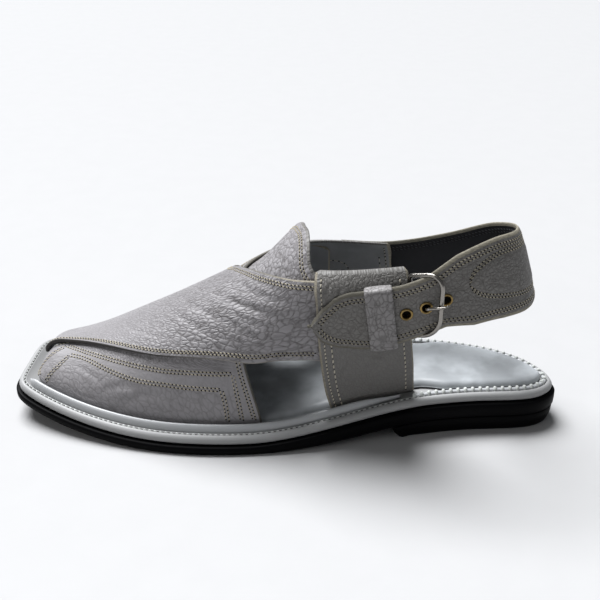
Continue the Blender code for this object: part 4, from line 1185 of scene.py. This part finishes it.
# %% Route of the heel strap
HEEL_STRAP_LEATHER = 0.0026
HEEL_STRAP_WIDTH = 0.0385
HEEL_STRAP_HEIGHT = 0.0917
BUCKLE_RISE = 0.0053
HEEL_STRAP = np.array([
    # place, side, height, lean, width, seated, raised
    (0.605, 0.700, 0.764, 0.0, 0.74, 1, 0.0),
    (0.645, 0.700, 0.764, 0.0, 0.75, 1, 0.0),
    (0.685, 0.700, 0.766, 0.0, 0.77, 1, 0.0),
    (0.770, 0.633, 0.803, 7.0, 0.83, 0, 0.0),
    (0.847, 0.523, 0.873, 12.0, 0.92, 0, 0.0),
    (0.904, 0.297, 0.960, 16.0, 1.00, 0, 0.0),
    (0.928, 0.000, 1.007, 18.0, 1.01, 0, 0.0),
    (0.9135, -0.225, 1.016, 17.0, 1.02, 0, 0.0),
    (0.872, -0.425, 1.026, 14.0, 1.02, 0, 0.0),
    (0.810, -0.603, 0.995, 9.0, 0.93, 0, 0.0),
    (0.763, -0.660, 0.939, 1.0, 0.71, 0, 0.0),
    (0.7185, -0.690, 0.879, 0.0, 0.72, 1, 1.03),
    (0.680, -0.700, 0.844, 0.0, 0.77, 1, 0.55),
    (0.645, -0.700, 0.823, 0.0, 0.78, 1, 0.15),
    (0.621, -0.700, 0.821, 0.0, 0.75, 1, 0.0),
    (0.598, -0.700, 0.809, 0.0, 0.65, 1, 0.0),
    (0.5734, -0.700, 0.803, 0.0, 0.41, 1, 0.0),
    (0.557, -0.700, 0.804, 0.0, 0.05, 1, 0.0),
])


def panel_side(place, height):
    """Side of the outermost point of the outer panel at some heights, and of the inner panel."""
    x = np.full(len(height), place * LENGTH)
    girth = girth_at(x, height - deck(x))
    outer = on_last(x, girth, PANEL_RISE + LEATHER)[:, 1].min()
    inner = on_last(x, 1 - girth, PANEL_RISE + LEATHER)[:, 1].max()
    return outer, inner


def strap_knots():
    """Centre, lean and width of the heel strap at each row of its table, with the distance along it."""
    rows = []
    for place, side, height, lean, width, seated, raised in HEEL_STRAP:
        z = height * HEEL_STRAP_HEIGHT
        y = side * HALF_BALL
        if seated:
            reach = (min(width, 0.7) / 2 + 0.12 * raised) * HEEL_STRAP_WIDTH
            outer, inner = panel_side(place, z + np.array([-reach, 0.0, reach]))
            stand_off = 2 * GAP + HEEL_STRAP_LEATHER / 2 + raised * BUCKLE_RISE
            y = outer - stand_off if side < 0 else inner + stand_off
        rows.append((place * LENGTH, y, z, lean, width * HEEL_STRAP_WIDTH))
    rows = np.array(rows)
    distance = run(rows[:, :3])
    return np.column_stack([distance / distance[-1], rows])


STRAP_STEPS = 521
knots = strap_knots()
strap_t = np.linspace(0, 1, STRAP_STEPS)
strap_centre = np.column_stack([spline(knots, column, strap_t) for column in (1, 2, 3)])
strap_lean = np.radians(spline(knots, 4, strap_t))[:, None]
strap_width = np.interp(strap_t, knots[:, 0], knots[:, 5])
strap_along = unit(np.gradient(strap_centre, axis=0))
level_out = unit(np.cross([0, 0, 1.0], strap_along))
level_up = np.cross(strap_along, level_out)
level_up *= np.sign(level_up[:, 2:3])
strap_up = level_up * np.cos(strap_lean) - level_out * np.sin(strap_lean)
strap_out = level_out * np.cos(strap_lean) + level_up * np.sin(strap_lean)
strap_length = run(strap_centre)[-1]
print(f"the heel strap is {strap_length * 1000:.0f} mm long")

# %% Heel strap
STRAP_COLUMNS = 49
HEEL_MIDDLE = 0.475
LEAF = np.array([
    # distance from the leaf's middle as a share of its half length, upper edge, lower edge
    (0.00, 0.74, -0.62),
    (0.25, 0.74, -0.60),
    (0.50, 0.73, -0.54),
    (0.70, 0.68, -0.46),
    (0.85, 0.56, -0.32),
    (0.95, 0.36, -0.08),
    (1.00, 0.14, 0.13),
])
LEAF_HALF = 0.197
LEAF_PADDING = 0.0007
STRAP_EDGE_THIN = 0.00035


def leaf_edges(t):
    """Upper and lower edge of the padded leaf, as shares of the half width, at a share of the strap."""
    away = np.abs(t - HEEL_MIDDLE) / LEAF_HALF
    return spline(LEAF, 1, away), spline(LEAF, 2, away), away


def strap_face(sign):
    """Grid of one face of the heel strap: rounded at its edges and padded inside the leaf."""
    across = np.linspace(-1, 1, STRAP_COLUMNS)[None, :]
    upper, lower, away = leaf_edges(strap_t[:, None])
    inside = soft_step(upper - across, 0.0, 0.30) * soft_step(across - lower, 0.0, 0.30)
    inside = inside * soft_step(1.0 - away, 0.0, 0.12)
    padding = LEAF_PADDING * inside if sign > 0 else 0.0
    thin = STRAP_EDGE_THIN * np.abs(across) ** 6
    height = sign * (HEEL_STRAP_LEATHER / 2 - thin) + padding
    half = strap_width[:, None] / 2
    return (strap_centre[:, None, :] + strap_up[:, None, :] * (across * half)[..., None]
            + strap_out[:, None, :] * height[..., None])


strap_outer = strap_face(1)
strap_inner = strap_face(-1)
heel_strap = sheet("heel_strap_dressed", strap_outer, strap_inner, [HEEL_SHADED_LEATHER, DARK_LINING, STRAP_EDGE],
                   ("heel_strap",), bulge=1.0)


# %% Places along the outer leg
def outer_leg(place):
    """Centre, width direction and outward direction of the strap's outer leg at a place along the shoe."""
    half = STRAP_STEPS // 2
    t = np.interp(-place * LENGTH, -strap_centre[half:, 0], np.arange(half, STRAP_STEPS))
    steps = np.arange(STRAP_STEPS)
    centre, up, side = [np.array([np.interp(t, steps, field[:, k]) for k in range(3)])
                        for field in (strap_centre, strap_up, strap_out)]
    return centre, unit(up), unit(side)


EYELET_START = 0.7135
EYELET_PITCH = 0.0096
EYELET_RADIUS = 0.0034
EYELET_BORE = 0.0016
EYELET_MOUTH = 0.0021
EYELET_COUNT = 3
EYELET_ROLL = 0.0008
LINING_ROLL = 0.0006
eyelet_places = [outer_leg(EYELET_START + i * EYELET_PITCH / LENGTH) for i in range(EYELET_COUNT)]


def cut_holes(made, places, radius, depth):
    """Round holes from the face down to the lining, cut with short rods that are then thrown away."""
    rods = []
    for centre, up, side in places:
        ring = circle(24, up, np.cross(side, up))
        rings = np.stack([centre + ring * radius - side * depth, centre + ring * radius + side * 2 * depth])
        count = len(ring)
        mesh = bpy.data.meshes.new("rod")
        caps = [tuple(range(count))[::-1], tuple(range(count, 2 * count))]
        mesh.from_pydata((rings.reshape(-1, 3) - ORIGIN).tolist(), [], quads(2, count, True).tolist() + caps)
        # the rods pass their near-black colour to the walls they cut: painted shade inside the holes
        mesh.materials.append(NEEDLE_HOLE_SHADE)
        rod = bpy.data.objects.new("rod", mesh)
        bpy.context.scene.collection.objects.link(rod)
        cut = made.modifiers.new("hole", "BOOLEAN")
        cut.operation = "DIFFERENCE"
        cut.solver = "EXACT"
        cut.material_mode = "TRANSFER"
        cut.object = rod
        rods.append(rod)
    seen = made.evaluated_get(bpy.context.evaluated_depsgraph_get())
    cut_mesh = bpy.data.meshes.new_from_object(seen)
    made.modifiers.clear()
    made.data = cut_mesh
    for rod in rods:
        bpy.data.objects.remove(rod)
    print(f"{made.name}: {len(places)} holes, {len(cut_mesh.polygons)} faces")


cut_holes(heel_strap, eyelet_places, EYELET_MOUTH + 0.0001, HEEL_STRAP_LEATHER / 2 - 0.0003)

# %% [markdown]
# ## Eyelets, buckle and keeper
# An eyelet is a small brass tube whose rims are rolled over both faces of the strap: a profile turned
# about the hole. Frame and prong are bent steel wire, so each is a round section carried along a line:
# straight sides and quarter circles for the frame, a smooth line through the hole for the prong. The
# keeper is a band of leather stitched down at both ends. Boxes with bevels would be quicker for all
# of them, but wire and a folded band have no flat sides.

# %% Eyelets
def turned(name, place, profile, finish, stands_for=(), steps=40):
    """Closed profile of radius and height turned about the strap's outward direction."""
    centre, up, side = place
    ray = circle(steps, up, np.cross(side, up))
    rings = centre + ray[:, None, :] * profile[None, :, :1] + side * profile[None, :, 1:]
    return tube(name, rings, finish, stands_for, closed=True)


def eyelet_profile():
    """Barrel with a rolled rim on both faces, as radius and height, counter-clockwise round the metal."""
    face = HEEL_STRAP_LEATHER / 2
    middle = (EYELET_MOUTH + EYELET_RADIUS) / 2
    half = (EYELET_RADIUS - EYELET_MOUTH) / 2
    bend = np.linspace(0, np.pi, 11)
    top = np.column_stack([middle + half * np.cos(bend), face + 0.0001 + EYELET_ROLL * np.sin(bend)])
    low_bend = np.linspace(np.pi, 2 * np.pi, 7)
    wall = np.array([[EYELET_BORE + 0.0001, 0.0003]])
    low = np.column_stack([EYELET_BORE + LINING_ROLL + LINING_ROLL * np.cos(low_bend),
                           -face - 0.0002 + 0.0003 * np.sin(low_bend)])
    back = np.array([[EYELET_MOUTH, -face], [EYELET_MOUTH, face]])
    return np.vstack([top, wall, low, back])


for number, place in enumerate(eyelet_places, start=1):
    turned(f"eyelet_{number}_dressed", place, eyelet_profile(), BRASS, (f"eyelet_{number}",))


# %% Buckle frame
WIRE = 0.0024
PRONG_WIRE = 0.0018
FRAME_HEIGHT = 0.0342
FRAME_ROUND = 0.0092
PIVOT_ROUND = 0.0015
PIVOT_DROP = 0.0056
BAR_LIFT = 0.0017
PIVOT_PLACE = 0.7185
BAR_PLACE = 0.7670
PRONG_OVERHANG = 0.0030
EYELET_FLANGE = 0.0005
ROUND_PROFILE = circle(16, np.array([1.0, 0.0]), np.array([0.0, 1.0]))


def wire_rings(path, radius, steady, closed=False):
    """Round rings along a path; their first direction is square to the path and to a steady direction."""
    along = unit(np.roll(path, -1, 0) - np.roll(path, 1, 0) if closed else np.gradient(path, axis=0))
    across = unit(np.cross(along, steady))
    return rings_on(path, across, np.cross(along, across), radius, radius, ROUND_PROFILE)


def resample(path, count, closed=False):
    """Points at even distances along a path."""
    if closed:
        path = np.vstack([path, path[:1]])
    length = run(path)
    where = np.linspace(0, length[-1], count + 1)[:-1] if closed else np.linspace(0, length[-1], count)
    return np.column_stack([np.interp(where, length, path[:, k]) for k in range(3)])


pivot_at, _, pivot_side = outer_leg(PIVOT_PLACE)
bar_at, _, bar_side = outer_leg(BAR_PLACE)
depth = HEEL_STRAP_LEATHER / 2 + GAP
pivot_point = pivot_at - pivot_side * (depth + EYELET_FLANGE + PRONG_WIRE + 2 * GAP + WIRE / 2)
bar_point = bar_at + bar_side * (depth + BAR_LIFT + 2 * GAP + WIRE / 2)
pivot_point[2] = bar_point[2] - PIVOT_DROP


def frame_loop():
    """Closed line of the frame: four straight sides joined by quarter circles, small at the pivot."""
    up = np.array([0.0, 0.0, 1.0])
    out = bar_point - pivot_point
    length = np.linalg.norm(out)
    out = out / length
    half = FRAME_HEIGHT / 2
    turn = np.radians(np.linspace(0, 90, 12))
    corners = []
    for radius, base, sign, start in ((FRAME_ROUND, length, -1, -90), (FRAME_ROUND, length, 1, 0),
                                      (PIVOT_ROUND, 0.0, 1, 90), (PIVOT_ROUND, 0.0, -1, 180)):
        middle = base - radius if base > 0 else radius
        angle = turn + math.radians(start)
        corners.append(pivot_point + out * (middle + radius * np.cos(angle))[:, None]
                       + up * (sign * (half - radius) + radius * np.sin(angle))[:, None])
    return np.vstack(corners), np.cross(out, up)


loop, loop_face = frame_loop()
loop = resample(loop, 160, closed=True)
tube("buckle_frame_dressed", wire_rings(loop, WIRE / 2, loop_face, True), STEEL,
     ("buckle_frame",), closed=True)

# %% Buckle prong
HOOK_TURN = (200, 92)
PRONG_TAPER = 0.45
PRONG_BENDS = (
    # side of the strap, outwards, forwards: shares of the hole's radius
    (-1, 0.0, -1.3),
    (-1, 0.2, -0.4),
    (-1, 0.9, 0.0),
    (1, -0.7, 0.0),
    (1, 0.1, 0.5),
    (1, 0.5, 1.3),
)


def prong_path():
    """Prong: hooked over the pivot bar, along under the strap, up through its hole and onto the bar."""
    centre, up, side = eyelet_places[1]
    along = np.cross(up, side)
    along = along * math.copysign(1, along[0])
    wrap = WIRE / 2 + GAP + PRONG_WIRE / 2
    angle = np.radians(np.linspace(*HOOK_TURN, 7))[:, None]
    hook = pivot_point + along * wrap * np.cos(angle) + side * wrap * np.sin(angle)
    under = HEEL_STRAP_LEATHER / 2 + 2 * GAP + EYELET_FLANGE + PRONG_WIRE / 2
    over_bar = bar_point + side * (WIRE / 2 + GAP + PRONG_WIRE / 2)
    rest = [centre + side * (face * under + outwards * EYELET_BORE) + along * forwards * EYELET_BORE
            for face, outwards, forwards in PRONG_BENDS]
    rest += [over_bar, over_bar + along * PRONG_OVERHANG]
    path = np.vstack([hook, rest])
    table = np.column_stack([np.arange(len(path)), path])
    fine = np.linspace(0, len(path) - 1, 120)
    return resample(np.column_stack([spline(table, k, fine) for k in (1, 2, 3)]), 90), up


prong, prong_up = prong_path()
taper = 1 - PRONG_TAPER * soft_step(np.linspace(0, 1, len(prong)), 0.80, 1.0)
tube("buckle_prong_dressed", wire_rings(prong, PRONG_WIRE / 2 * taper, prong_up), STEEL,
     ("buckle_prong",))

# %% Keeper
KEEPER_PLACE = 0.672
KEEPER_WIDTH = 0.0128
KEEPER_LEATHER = 0.0014
FASTENING_WIDTH = HEEL_STRAP_WIDTH * 0.80
KEEPER_UPRIGHT = 0.70
KEEPER_CORNER = 0.0022
KEEPER_SWELL = 0.0003
LEG_POINTS = 12
KEEPER_CREASES = (
    # depth, slant, middle, width
    (0.00025, 0.25, 0.30, 0.05),
    (0.0002, -0.3, 0.62, 0.06),
)


def keeper_grids():
    """Band over the strap: a rounded U whose two legs stand on the ankle panel, carried across its width."""
    centre, up, side = outer_leg(KEEPER_PLACE)
    up = up + np.array([0.0, 0.0, KEEPER_UPRIGHT])
    up = unit(up - side * np.dot(up, side))
    along = np.cross(up, side)
    half = FASTENING_WIDTH / 2 + 2 * GAP
    face = HEEL_STRAP_LEATHER / 2 + 2 * GAP
    wide = half + KEEPER_LEATHER
    feet = []
    for sign in (-1, 1):
        edge = [centre + up * sign * wide + along * step * KEEPER_WIDTH / 2 for step in (-1, 1)]
        feet.append(max(point[1] - panel_side(point[0] / LENGTH, point[2:])[0] for point in edge) + GAP)
    bend = np.radians(np.linspace(0, 90, 9))
    crown = face + KEEPER_LEATHER
    shoulder = crown - KEEPER_CORNER
    low = np.column_stack([np.full(LEG_POINTS, -wide), np.linspace(feet[0], shoulder, LEG_POINTS)])
    left = np.column_stack([-wide + KEEPER_CORNER * (1 - np.cos(bend)),
                            shoulder + KEEPER_CORNER * np.sin(bend)])
    level = np.linspace(-wide + KEEPER_CORNER, wide - KEEPER_CORNER, 60)[1:-1]
    top = np.column_stack([level, np.full(len(level), crown)])
    right = left[::-1] * [-1, 1]
    high = np.column_stack([np.full(LEG_POINTS, wide), np.linspace(shoulder, feet[1], LEG_POINTS)])
    line = np.vstack([low[:-1], left, top, right, high[1:]])
    tangent = unit(np.gradient(line, axis=0))
    normal = np.column_stack([-tangent[:, 1], tangent[:, 0]])
    across = np.linspace(-0.5, 0.5, 30)[None, :]
    share = np.linspace(0, 1, len(line))[:, None]
    swell = KEEPER_SWELL * (1 - (2 * across) ** 2)
    for deep, slant, middle, width in KEEPER_CREASES:
        swell = swell - deep * hump(share + slant * across, middle, width)
    grids = []
    for raised in (swell, 0 * swell - KEEPER_LEATHER * 0.9):
        shifted = line[:, None, :] + normal[:, None, :] * raised[..., None]
        grids.append(centre + up * shifted[..., :1] + side * shifted[..., 1:]
                     + along * (across * KEEPER_WIDTH)[..., None])
    return grids


keeper_outer, keeper_inner = keeper_grids()
sheet("keeper_dressed", keeper_outer, keeper_inner, [KEEPER_FINISH, GREY_LINING, CUT_EDGE],
      ("keeper_loop",), edge_finish=(0, 0, 0, 0))

# %% [markdown]
# ## Insole
# The insole is foam under thin leather. It is full in the middle, rounds down to its edge and is
# pressed a little where the heel stands. A cloth simulation could blow it up, but this pad is only
# 4 mm thick, so its crown is a function of the distance to its edge.

# %% Insole
INSOLE_THICKNESS = 0.0034
INSOLE_INSET = FOOT_INSET + GAP
INSOLE_RIM = 0.0064
INSOLE_TOE = 0.0070
INSOLE_ROUND = 0.0042
INSOLE_CROWN = 0.0010
INSOLE_WAVE = 0.00022
HEEL_CENTRE = 0.875
HEEL_DISH = 0.0010
DISH_LENGTH = 0.030
DISH_WIDTH = 0.020
CROWN_REACH = 0.010


def insole_grids():
    """Upper face and under face: a crown over the distance to the edge, less a dish for the heel."""
    station = outline(0.0, SIDE_STATIONS)[:, 0]
    rim = soft_step(station, 0.755 * LENGTH, 0.810 * LENGTH)
    toe = 1 - soft_step(station, 0, 0.120 * LENGTH)
    inset = INSOLE_INSET + (INSOLE_RIM - INSOLE_INSET) * rim + INSOLE_TOE * toe
    outer_x, outer_y = side_line(-inset, False)
    inner_x, inner_y = side_line(-inset, True)
    first = max(outer_x[0], inner_x[0]) + 0.0004
    last = min(outer_x[-1], inner_x[-1]) - 0.0002
    x = first + (last - first) * (1 - np.cos(np.linspace(0, np.pi, 260)[:, None])) / 2
    across = np.sin(np.linspace(-np.pi / 2, np.pi / 2, 90))[None, :]
    low_y = np.interp(x, outer_x, outer_y)
    high_y = np.interp(x, inner_x, inner_y)
    y = (low_y + high_y) / 2 + across * (high_y - low_y) / 2
    edge = np.minimum((1 - np.abs(across)) * (high_y - low_y) / 2, x - first)
    round_share = np.clip(edge / INSOLE_ROUND, 0, 1)
    rise = INSOLE_THICKNESS * (1 - (1 - round_share) ** 2.4) ** (1 / 2.0)
    crown = INSOLE_CROWN * (1 - np.exp(-edge / CROWN_REACH))
    dish = HEEL_DISH * np.exp(-((x - HEEL_CENTRE * LENGTH) / DISH_LENGTH) ** 2 - (y / DISH_WIDTH) ** 2)
    wave = INSOLE_WAVE * np.sin(x * 210 + 3 * np.sin(y * 120)) * soft_step(edge, 0.002, 0.010)
    base = deck(x) + GAP
    bottom = np.stack([x + 0 * y, y, base + 0 * y], -1)
    top = np.stack([x + 0 * y, y, base + np.maximum(rise, 0.0006) + crown - dish + wave], -1)
    return top, bottom


insole_top, insole_bottom = insole_grids()
insole = sheet("insole_dressed", insole_top, insole_bottom, [INSOLE_SKIN, INSOLE_SKIN, INSOLE_SKIN],
               ("insole",))
print(f"insole: {(insole_top[..., 2] - insole_bottom[..., 2]).max() * 1000:.1f} mm thick")

# %% [markdown]
# ## Sewing
# A seam is a row of short threads with a needle hole between each two. A row is drawn on a piece in
# its own two parameters, read from the piece's face at even distances, and each thread is a small
# closed spindle from hole to hole. Thousands of them are one mesh, worked out as whole arrays. A
# bump texture would be lighter, but a real thread stands up and catches the light.


# %% Rows
def seam(face, line, pitch, shift=0.0, phase=0.0):
    """Needle holes at even distances along a line on a face, with the normals there. shift moves the row
    sideways, and phase moves its first hole by a share of the pitch."""
    a, b = line
    points = face.read(face.grid, a, b)
    normals = unit(face.read(face.normal, a, b))
    side = unit(np.cross(normals, np.gradient(points, axis=0)))
    return spaced(points + side * shift, normals, pitch, phase)


def spaced(points, normals, pitch, phase=0.0):
    """Points of a line at even distances near a pitch."""
    length = run(points)
    where = np.linspace(phase * pitch, length[-1] - (1 - phase) * pitch, max(2, int(length[-1] / pitch)))
    found = np.column_stack([np.interp(where, length, points[:, k]) for k in range(3)])
    turned_to = np.column_stack([np.interp(where, length, normals[:, k]) for k in range(3)])
    return found, unit(turned_to)


# %% Threads
THREAD_RINGS = 5
THREAD_SIDES = 6


def spindles(name, starts, ends, normals, width, height, finish, slant=0.0):
    """Closed spindles from start to end: the middle follows start + t (end - start) + normal * height *
    sin(pi t), and the radius is width / 2 * sin(pi t)^0.35."""
    t = np.linspace(0, 1, THREAD_RINGS + 2)[1:-1]
    along = ends - starts
    side = unit(np.cross(along, normals))
    centre = starts[:, None, :] + along[:, None, :] * t[None, :, None]
    centre = centre + normals[:, None, :] * (height * np.sin(np.pi * t) - 0.25 * width)[None, :, None]
    centre = centre + side[:, None, :] * (slant * (t - 0.5))[None, :, None] * width
    radius = width / 2 * np.sin(np.pi * t) ** 0.35
    ring = circle(THREAD_SIDES, side, normals)[:, None]
    body = centre[:, :, None, :] + ring * radius[None, :, None, None]
    count = len(starts)
    sink = normals * 0.4 * width
    tips = np.stack([starts - sink, ends - sink], axis=1)
    points = np.concatenate([body.reshape(count, -1, 3), tips], axis=1)
    size = THREAD_RINGS * THREAD_SIDES + 2
    walls = quads(THREAD_RINGS, THREAD_SIDES, wrap=True)
    fans = caps(THREAD_RINGS, THREAD_SIDES, size - 2)
    base = (np.arange(count) * size)[:, None, None]
    walls = (walls[None] + base).reshape(-1, 4)[:, ::-1]
    fans = (fans[None] + base).reshape(-1, 3)[:, ::-1]
    return piece(name, points, [walls, fans], [finish])


# %% Needle holes
def holes(name, centres, normals, radius, finish, sides=8):
    """Closed dark lenses on the surface: a ring of points and a pole above and below; their near-black
    colour is painted shade for the inside of a needle hole.
    """
    steady = np.where(np.abs(normals[:, 2:3]) < 0.8, [[0.0, 0.0, 1.0]], [[1.0, 0.0, 0.0]])
    side = unit(np.cross(normals, steady))
    ring = circle(sides, side, np.cross(normals, side))
    rim = centres[:, None, :] + ring * radius
    poles = np.stack([centres + normals * 0.06 * radius, centres - normals * 0.6 * radius], axis=1)
    points = np.concatenate([rim, poles], axis=1) + normals[:, None, :] * 0.00003
    fans = caps(1, sides, sides)[:, ::-1]
    base = (np.arange(len(centres)) * (sides + 2))[:, None, None]
    return piece(name, points, [(fans[None] + base).reshape(-1, 3)], [finish])


def sew(name, seams, width, finish, gap=0.20, height=0.00022, slant=1.3, hole=0.00045):
    """Threads and needle holes of several seams, each as one mesh."""
    starts = np.vstack([points[:-1] for points, _ in seams])
    ends = np.vstack([points[1:] for points, _ in seams])
    between = unit(np.vstack([normals[:-1] + normals[1:] for _, normals in seams]))
    step = ends - starts
    spindles(name + "_threads", starts + step * gap / 2, ends - step * gap / 2, between, width, height,
             finish, slant)
    centres, normals = [np.vstack(parts) for parts in zip(*seams)]
    holes(name + "_holes", centres, normals, hole, NEEDLE_HOLE_SHADE)
    print(f"{name}: {len(starts)} stitches")


# %% Seams of the straps
STITCH = 0.0021
THREAD = 0.00068
ROW_GAP = 0.0016
EDGE_ROWS = ((0.0019, 0.0), (0.0035, 0.5))
OVER_ROWS = ((0.0026, 0.0), (0.0042, 0.5))
TONGUE_ROWS = ((0.0030, 0.0), (0.0046, 0.5))
under_face = Face(under_outer, SHOE_MIDDLE)
over_face = Face(over_outer, SHOE_MIDDLE)
tongue_face = Face(tongue_outer, SHOE_MIDDLE)


def double(face, line, pitch=STITCH, gap=ROW_GAP):
    """Two rows beside each other along a line, their holes in turn."""
    return [seam(face, line, pitch, -gap / 2), seam(face, line, pitch, gap / 2, 0.5)]


seams = []
for table in (TOE_LINE, LONG_LINE, DOWN_LINE, INNER_TOE_LINE, INNER_LONG_LINE, INNER_DOWN_LINE):
    seams += double(under_face, drawn(table))
for distance, phase in EDGE_ROWS:
    seams.append(seam(under_face, under_face.beside("rear", distance, 0.012, 0.99), STITCH, 0.0, phase))
    seams.append(seam(under_face, under_face.beside("front", distance, 0.45, 0.99), STITCH, 0.0, phase))
sew("under_strap_seams", seams, THREAD, CREAM_THREAD)

seams = []
for distance, phase in OVER_ROWS:
    lines = (over_face.beside("front", distance, 0.10, 0.985),
             over_face.beside("rear", distance - 0.0004, 0.03, 0.985))
    seams += [seam(over_face, line, STITCH, 0.0, phase) for line in lines]
sew("over_strap_seams", seams, THREAD, CREAM_THREAD)

seams = []
for distance, phase in TONGUE_ROWS:
    seams.append(seam(tongue_face, tongue_face.beside("rear", distance, 0.05, 0.95), STITCH, 0.0, phase))
sew("tongue_seams", seams, THREAD, CREAM_THREAD)

# %% Seams of the panels
PANEL_MARGIN = 0.0020
PANEL_SECOND = 0.0056
PANEL_REAR_ROW = 0.0038
HALF_ROUND = ((0.60, 0.262), (0.74, 0.268), (0.782, 0.300), (0.801, 0.365), (0.806, 0.435), (0.801, 0.505),
              (0.782, 0.568), (0.74, 0.598), (0.60, 0.604))
seams = []
for panel_face in (outer_panel_face, inner_panel_face):
    face = Face(panel_face, SHOE_MIDDLE)
    seams.append(seam(face, face.beside("front", PANEL_MARGIN, 0.02, 0.995), 0.0024))
    seams.append(seam(face, face.beside("front", PANEL_SECOND, 0.02, 0.80), 0.0034))
    seams.append(seam(face, face.beside("rear", PANEL_REAR_ROW, 0.02, 0.995), 0.0030))
sew("panel_seams", seams, 0.00078, PANEL_THREAD, slant=0.4, hole=0.00032)
seams = []
for panel_lining, side in ((outer_panel_lining, -1), (inner_panel_lining, 1)):
    face = Face(panel_lining, np.array([0.2, 0.2 * side, 0.05]))
    for edge in ("front", "rear"):
        seams.append(seam(face, face.beside(edge, PANEL_MARGIN, 0.02, 0.98), 0.0022))
        seams.append(seam(face, face.beside(edge, PANEL_SECOND, 0.02, 0.90), 0.0034))
seams.append(seam(face, drawn(HALF_ROUND), 0.0034))
sew("panel_lining_seams", seams, 0.00055, LINING_THREAD, slant=0.4)


# %% Seams of the heel strap
def strap_row(distance, sign):
    """Row at a distance inside an edge of the heel strap: the edge moved in along its own normal, so that
    the rows of both edges meet in the point."""
    half = strap_width / 2
    place = strap_t * strap_length
    slope = np.gradient(half, place)
    square = np.sqrt(1 + slope**2)
    t = (place + distance * slope / square) / strap_length
    level = half - distance / square
    keep = (level > 0) & (t > 0.004) & (t < 0.999)
    across = sign * level[keep] / np.interp(t[keep], strap_t, half)
    return t[keep], (1 + across) / 2


STRAP_MIDDLE = np.array([0.22, 0.0, 0.08])
strap_outer_face = Face(strap_outer, STRAP_MIDDLE)
strap_lining_face = Face(strap_inner, STRAP_MIDDLE)
strap_lining_face.normal = -strap_lining_face.normal
seams = []
lining_seams = []
for distance, phase in EDGE_ROWS:
    for sign in (-1, 1):
        seams.append(seam(strap_outer_face, strap_row(distance, sign), STITCH, 0.0, phase))
        lining_seams.append(seam(strap_lining_face, strap_row(distance, sign), STITCH, 0.0, phase))
for side in (0, 1):
    for inset, phase in ((0.0, 0.0), (ROW_GAP, 0.5)):
        t = np.linspace(HEEL_MIDDLE - LEAF_HALF * 0.985, HEEL_MIDDLE + LEAF_HALF * 0.985, 400)
        half = np.interp(t, strap_t, strap_width) / 2
        level = leaf_edges(t)[side] + (2 * side - 1) * inset / half
        seams.append(seam(strap_outer_face, (t, (1 + level) / 2), STITCH, 0.0, phase))
sew("heel_strap_seams", seams, THREAD, CREAM_THREAD)
sew("heel_strap_lining_seams", lining_seams, 0.0006, DARK_THREAD, hole=0.0003)


# %% Sewing of the sole
def outline_part(offset, start, end, rise, count=900):
    """Stretch of the outline moved out by an offset, on the deck, between two shares of the way round."""
    ring = outline(offset, 300)
    ring = np.vstack([ring, ring[:1]])
    length = run(ring)
    where = np.linspace(start, end, count) * length[-1] % length[-1]
    x = np.interp(where, length, ring[:, 0])
    y = np.interp(where, length, ring[:, 1])
    return np.column_stack([x, y, deck(x) + rise])


# ends of the rows as shares of the way round from the toe
LEDGE_ENDS = (-0.385, 0.385)
RIDGE_ENDS = (0.372, 0.640)
LEDGE_SEAM = 0.0028
LEDGE_PITCH = 0.0030
LEDGE_THREAD = 0.0010
up = np.array([[0.0, 0.0, 1.0]])
ledge = outline_part(-LEDGE_SEAM, *LEDGE_ENDS, -0.0004)
ledge_up = np.repeat(up, len(ledge), 0)
sew("ledge_seam", [spaced(ledge, ledge_up, LEDGE_PITCH)], LEDGE_THREAD, GREY_THREAD,
    gap=0.36, height=0.0005, slant=0.5, hole=0.0007)

RIDGE_INSET = 0.0040
RIDGE_WIDTH = 0.0026
RIDGE_HEIGHT = 0.0011
LOOP_PITCH = 0.0041
LOOP_WIDTH = 0.0021
LOOP_LEAN = 0.0005
ridge = outline_part(-RIDGE_INSET, *RIDGE_ENDS, -0.0001, 260)
ridge_along = unit(np.gradient(ridge, axis=0))
ridge_out = np.column_stack([-ridge_along[:, 1], ridge_along[:, 0], np.zeros(len(ridge))])
ridge_up = np.tile([0.0, 0.0, 1.0], (len(ridge), 1))
angle = np.linspace(0, np.pi, 11)
arch = np.vstack([np.column_stack([np.cos(angle), np.sin(angle)]), [[-0.98, -0.1], [0.98, -0.1]]])
tube("heel_ridge", rings_on(ridge, ridge_out, ridge_up, RIDGE_WIDTH / 2, RIDGE_HEIGHT, arch), GREY_ROLL)
middle, _ = spaced(ridge, ridge_up, LOOP_PITCH)
along = unit(np.gradient(middle, axis=0))
inward = np.column_stack([-along[:, 1], along[:, 0], np.zeros(len(middle))])
reach = RIDGE_WIDTH / 2 + 0.0006
across = inward * reach + along * LOOP_LEAN
spindles("heel_loops", middle - across, middle + across, np.repeat(up, len(middle), 0), LOOP_WIDTH,
         RIDGE_HEIGHT + 0.0007, GREY_THREAD)
print(f"heel ridge: {len(middle)} loops of thread over {run(ridge)[-1] * 1000:.0f} mm")
